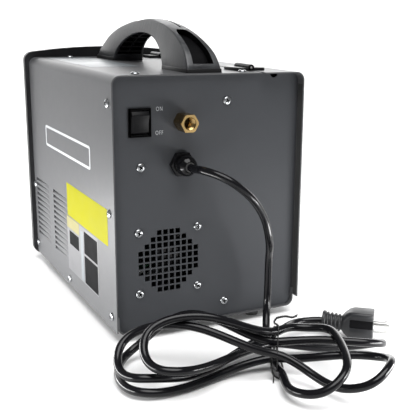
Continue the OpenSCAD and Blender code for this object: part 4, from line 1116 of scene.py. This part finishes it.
def make_switch():
    """A raised rim round the opening, and a rocker with a hollow face that tips in it."""
    def rim(shape):
        outer = rounded(SWITCH_W, SWITCH_H, 1, 3)
        inner = rounded(SWITCH_W - 2 * RIM_SIDE, SWITCH_H - 2 * RIM_TOP, 0.5, 3)
        edge = RIM_PROUD - 0.4
        steps = [(0, outer, 1), (edge, outer, 1), (RIM_PROUD, outer, 0.975),
                 (RIM_PROUD, inner, 1.02), (edge, inner, 1), (-6, inner, 1)]
        skin(shape, [[at(SWITCH_X + x * share, y, SWITCH_Z + z * share) for x, z in outline]
                     for y, outline, share in steps], closed=False)

    moulded("switch_rim", "switch_black", rim)

    half = SWITCH_W / 2 - RIM_SIDE - ROCKER_GAP
    tilt = radians(-ROCKER_TILT)
    tipped = [(y * cos(tilt) - z * sin(tilt), y * sin(tilt) + z * cos(tilt))
              for y, z in ROCKER]

    def cap(shape):
        skin(shape, [[at(SWITCH_X + x, ROCKER_AXIS_Y + y, SWITCH_Z + z) for y, z in tipped]
                     for x in (-half, half)])

    moulded("rocker_cap", "switch_black", cap, rounding=(0.8, 4, 20), angle=40,
            body="switch_rocker", replaces=["rocker"])


make_switch()


# ---- hinge leaves and the door lip's painted shade

HINGE_STARTS = {"rear": -58, "front": -332}
HINGE_LEN = 36
# Each leaf: its body, and where it begins and ends across the case
LEAVES = {"fixed": ("chassis", -60.5, -46.2), "moving": ("door", -81.8, -67.5)}
LEAF_T = 3.5
HINGE_AXIS = (-64, 293.4)
KNUCKLE_R = 4.1
KNUCKLE_EDGE = 0.4
KNUCKLES = [("fixed", 0, 11.8), ("moving", 12.1, 23.9), ("fixed", 24.2, 36)]


def make_leaves():
    """A thick rounded cover over each hinge leaf."""
    def leaf(shape, x0, x1, start):
        outline = rounded(x1 - x0, HINGE_LEN + 0.6, 1.2, 3)
        skin(shape, [[at((x0 + x1) / 2 + x * share, start + HINGE_LEN / 2 + y * share, z)
                      for x, y in outline]
                     for z, share in ((CASE_H + 0.5, 1), (CASE_H + LEAF_T - 0.6, 1),
                                      (CASE_H + LEAF_T, 0.95))])

    for place, start in HINGE_STARTS.items():
        for kind, (body, x0, x1) in LEAVES.items():
            name = f"hinge_{place}_{kind}_leaf"
            moulded(name, "black_paint", leaf, x0, x1, start, body=body)


def make_knuckles():
    """The rolled sleeves on the hinge pin, and the pin's bright end."""
    for place, start in HINGE_STARTS.items():
        for i, (kind, y0, y1) in enumerate(KNUCKLES):
            r, c, long = KNUCKLE_R, KNUCKLE_EDGE, y1 - y0
            moulded(f"hinge_{place}_knuckle_{i + 1}", "black_paint", lathe,
                    at(HINGE_AXIS[0], start + y0, HINGE_AXIS[1]), (0, 1, 0),
                    [(0, r - c), (c, r), (long - c, r), (long, r - c)], 28, body=LEAVES[kind][0])
        moulded(f"hinge_{place}_pin_end", "steel", lathe,
                at(HINGE_AXIS[0], start + HINGE_LEN - 0.1, HINGE_AXIS[1]), (0, 1, 0),
                [(0, 1.5), (0.5, 1.5), (0.9, 0.9)], 20)


SHADE_STRIP_X = (-115.1, -114.6)
SHADE_STRIP_Y = (1.2, 11.2)
SHADE_STRIP_HEIGHTS = (15, 150, 276)


def make_lip_shade():
    """A black strip of painted shade on the door lip's inner face, where it stands past the rear
    panel.
    """
    def strip(shape):
        (x0, x1), (y0, y1) = SHADE_STRIP_X, SHADE_STRIP_Y
        outline = [(x0, y0), (x1, y0), (x1, y1), (x0, y1)]
        skin(shape, [[at(x, y, z) for x, y in outline] for z in SHADE_STRIP_HEIGHTS])

    # The strip takes the rubber's black as painted shade
    shaped("door_lip_shade", MATERIALS["rubber"], strip, body="door", slot="rubber")


make_leaves()
make_knuckles()
make_lip_shade()


# ---- gas fitting

GAS_BORE_R = 7.2
THREAD_START = 5
THREAD_TURNS = 11
THREAD_STEPS = 40
THREAD_PITCH = 1.4
# The crest's cross-section: radius against the bore's, distance along it
CREST = [(0.05, -0.5), (-0.6, 0), (0.05, 0.5)]


def make_gas_thread():
    """Thread crests inside the bore of the brass fitting."""
    low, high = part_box("gas_fitting")
    start = Vector(((low.x + high.x) / 2, REAR_Y + THREAD_START * MM, (low.z + high.z) / 2))

    def thread(shape):
        rings = []
        for k in range(THREAD_TURNS * THREAD_STEPS + 1):
            turn = 2 * pi * k / THREAD_STEPS
            out = Vector((cos(turn), 0, sin(turn)))
            along = Vector((0, THREAD_PITCH * k / THREAD_STEPS * MM, 0))
            rings.append([start + along + out * (GAS_BORE_R + r) * MM + Vector((0, d * MM, 0))
                          for r, d in CREST])
        skin(shape, rings)

    moulded("gas_thread", "brass", thread, angle=50)


make_gas_thread()


# ---- front dials

TICKS = 11
TICK_FROM, TICK_TO, TICK_HALF = 2.5, 5.5, 0.35
DIAL_SWEEP = 270
KNOB_H = 13.3
# Each knob's node and its body
DIALS = {"voltage_knob": "voltage", "speed_knob": "speed"}


def front_bar(shape, middle, y, turn, near, far, half):
    """A short bar that points away from a dial's middle, on a face at y."""
    way = Vector((sin(turn), 0, cos(turn)))
    side = Vector((cos(turn), 0, -sin(turn)))
    base = Vector((middle.x, y, middle.z))
    corners = [base + way * (r * MM) + side * (s * half * MM)
               for r, s in ((near, -1), (near, 1), (far, 1), (far, -1))]
    slab(shape, corners, (0, -1, 0), FILM_T)


def make_dials():
    """A ring of ticks round each knob, and a pale pointer on the knob."""
    for knob, body in DIALS.items():
        low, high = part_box(knob)
        face = low.y + KNOB_H * MM
        middle, radius = (low + high) / 2, (high.x - low.x) / 2 / MM

        def ticks(shape):
            for k in range(TICKS):
                turn = radians(DIAL_SWEEP * k / (TICKS - 1) - DIAL_SWEEP / 2)
                front_bar(shape, middle, face, turn, radius + TICK_FROM, radius + TICK_TO,
                          TICK_HALF)

        shaped(f"{body}_ticks", INK, ticks)
        shaped(f"{body}_pointer", INK, front_bar, middle, low.y, 0, radius * 0.25, radius * 0.8,
               0.6, body=body)


make_dials()


# ---- stage

# The room is dim, with a low bright wall behind the object and a wide soft light overhead
WALL_SIDE = (-0.55, -0.835, 0)
# The spans over which the wall fades: towards its sides, and upwards
WALL_EDGE = (0.5, 0.85)
WALL_TOP = (0.3, 0.55)
ROOM_LEVEL, WALL_LEVEL = 0.2, 4.0
FLOOR_SIZE = 80
SOFT_LIGHT_FROM = (0.05, 0.3, 0.95)
SOFT_LIGHT_POWER = 3.7
SOFT_LIGHT_SPREAD = 50
# Low panels of light: name, place, target, size, watts
PANELS = [
    ("low_side_light", (0.36, 0, 0.03), (0.116, 0, 0.03), (0.7, 0.06), 3),
    ("low_rear_light", (-0.25, 0.48, 0.05), (-0.08, 0.182, 0.05), (0.25, 0.06), 1.5),
]


def make_world():
    """The dim room and its bright wall, which fades out at its sides and its top."""
    world = bpy.data.worlds.new("studio")
    world.use_nodes = True
    tree = world.node_tree
    way = node(tree, "ShaderNodeTexCoord").outputs["Generated"]
    toward = node(tree, "ShaderNodeVectorMath", operation="DOT_PRODUCT")
    toward.inputs[1].default_value = WALL_SIDE
    tree.links.new(way, toward.inputs[0])
    split = node(tree, "ShaderNodeSeparateXYZ")
    tree.links.new(way, split.inputs["Vector"])
    wall = node(tree, "ShaderNodeMath", operation="MULTIPLY")
    across = mapped(tree, toward.outputs["Value"], WALL_EDGE, (0, 1), "SMOOTHSTEP")
    upward = mapped(tree, split.outputs["Z"], WALL_TOP, (1, 0), "SMOOTHSTEP")
    tree.links.new(across, wall.inputs[0])
    tree.links.new(upward, wall.inputs[1])
    strength = mapped(tree, wall.outputs["Value"], (0, 1), (ROOM_LEVEL, WALL_LEVEL))
    tree.links.new(strength, tree.nodes["Background"].inputs["Strength"])
    tree.nodes["Background"].inputs["Color"].default_value = (1, 1, 1, 1)
    bpy.context.scene.world = world


def lamp(name, kind, power, way):
    """A lamp that shines along the opposite of way."""
    light = bpy.data.lights.new(name, kind)
    light.energy = power
    obj = linked(name, light)
    obj.rotation_euler = Vector(way).to_track_quat("Z", "Y").to_euler()
    return obj


def panel_light(name, place, target, size, watts):
    """A rectangular light that the camera doesn't see."""
    obj = lamp(name, "AREA", watts, Vector(place) - Vector(target))
    obj.location = place
    obj.visible_camera = False
    obj.data.shape = "RECTANGLE"
    obj.data.size, obj.data.size_y = size


def make_stage():
    """A pale floor, one wide soft light, two low panels and the room."""
    bpy.ops.mesh.primitive_plane_add(size=FLOOR_SIZE)
    floor = bpy.context.object
    floor.name = "floor"
    dress(floor, grained("pale_floor", (0.88, 0.88, 0.88), 0.6, grain=40, mottle=0.004,
                         specular=0.2))
    sun = lamp("soft_light", "SUN", SOFT_LIGHT_POWER, SOFT_LIGHT_FROM)
    sun.data.angle = radians(SOFT_LIGHT_SPREAD)
    for panel in PANELS:
        panel_light(*panel)
    make_world()
    bpy.context.scene.view_settings.view_transform = "Standard"


make_stage()
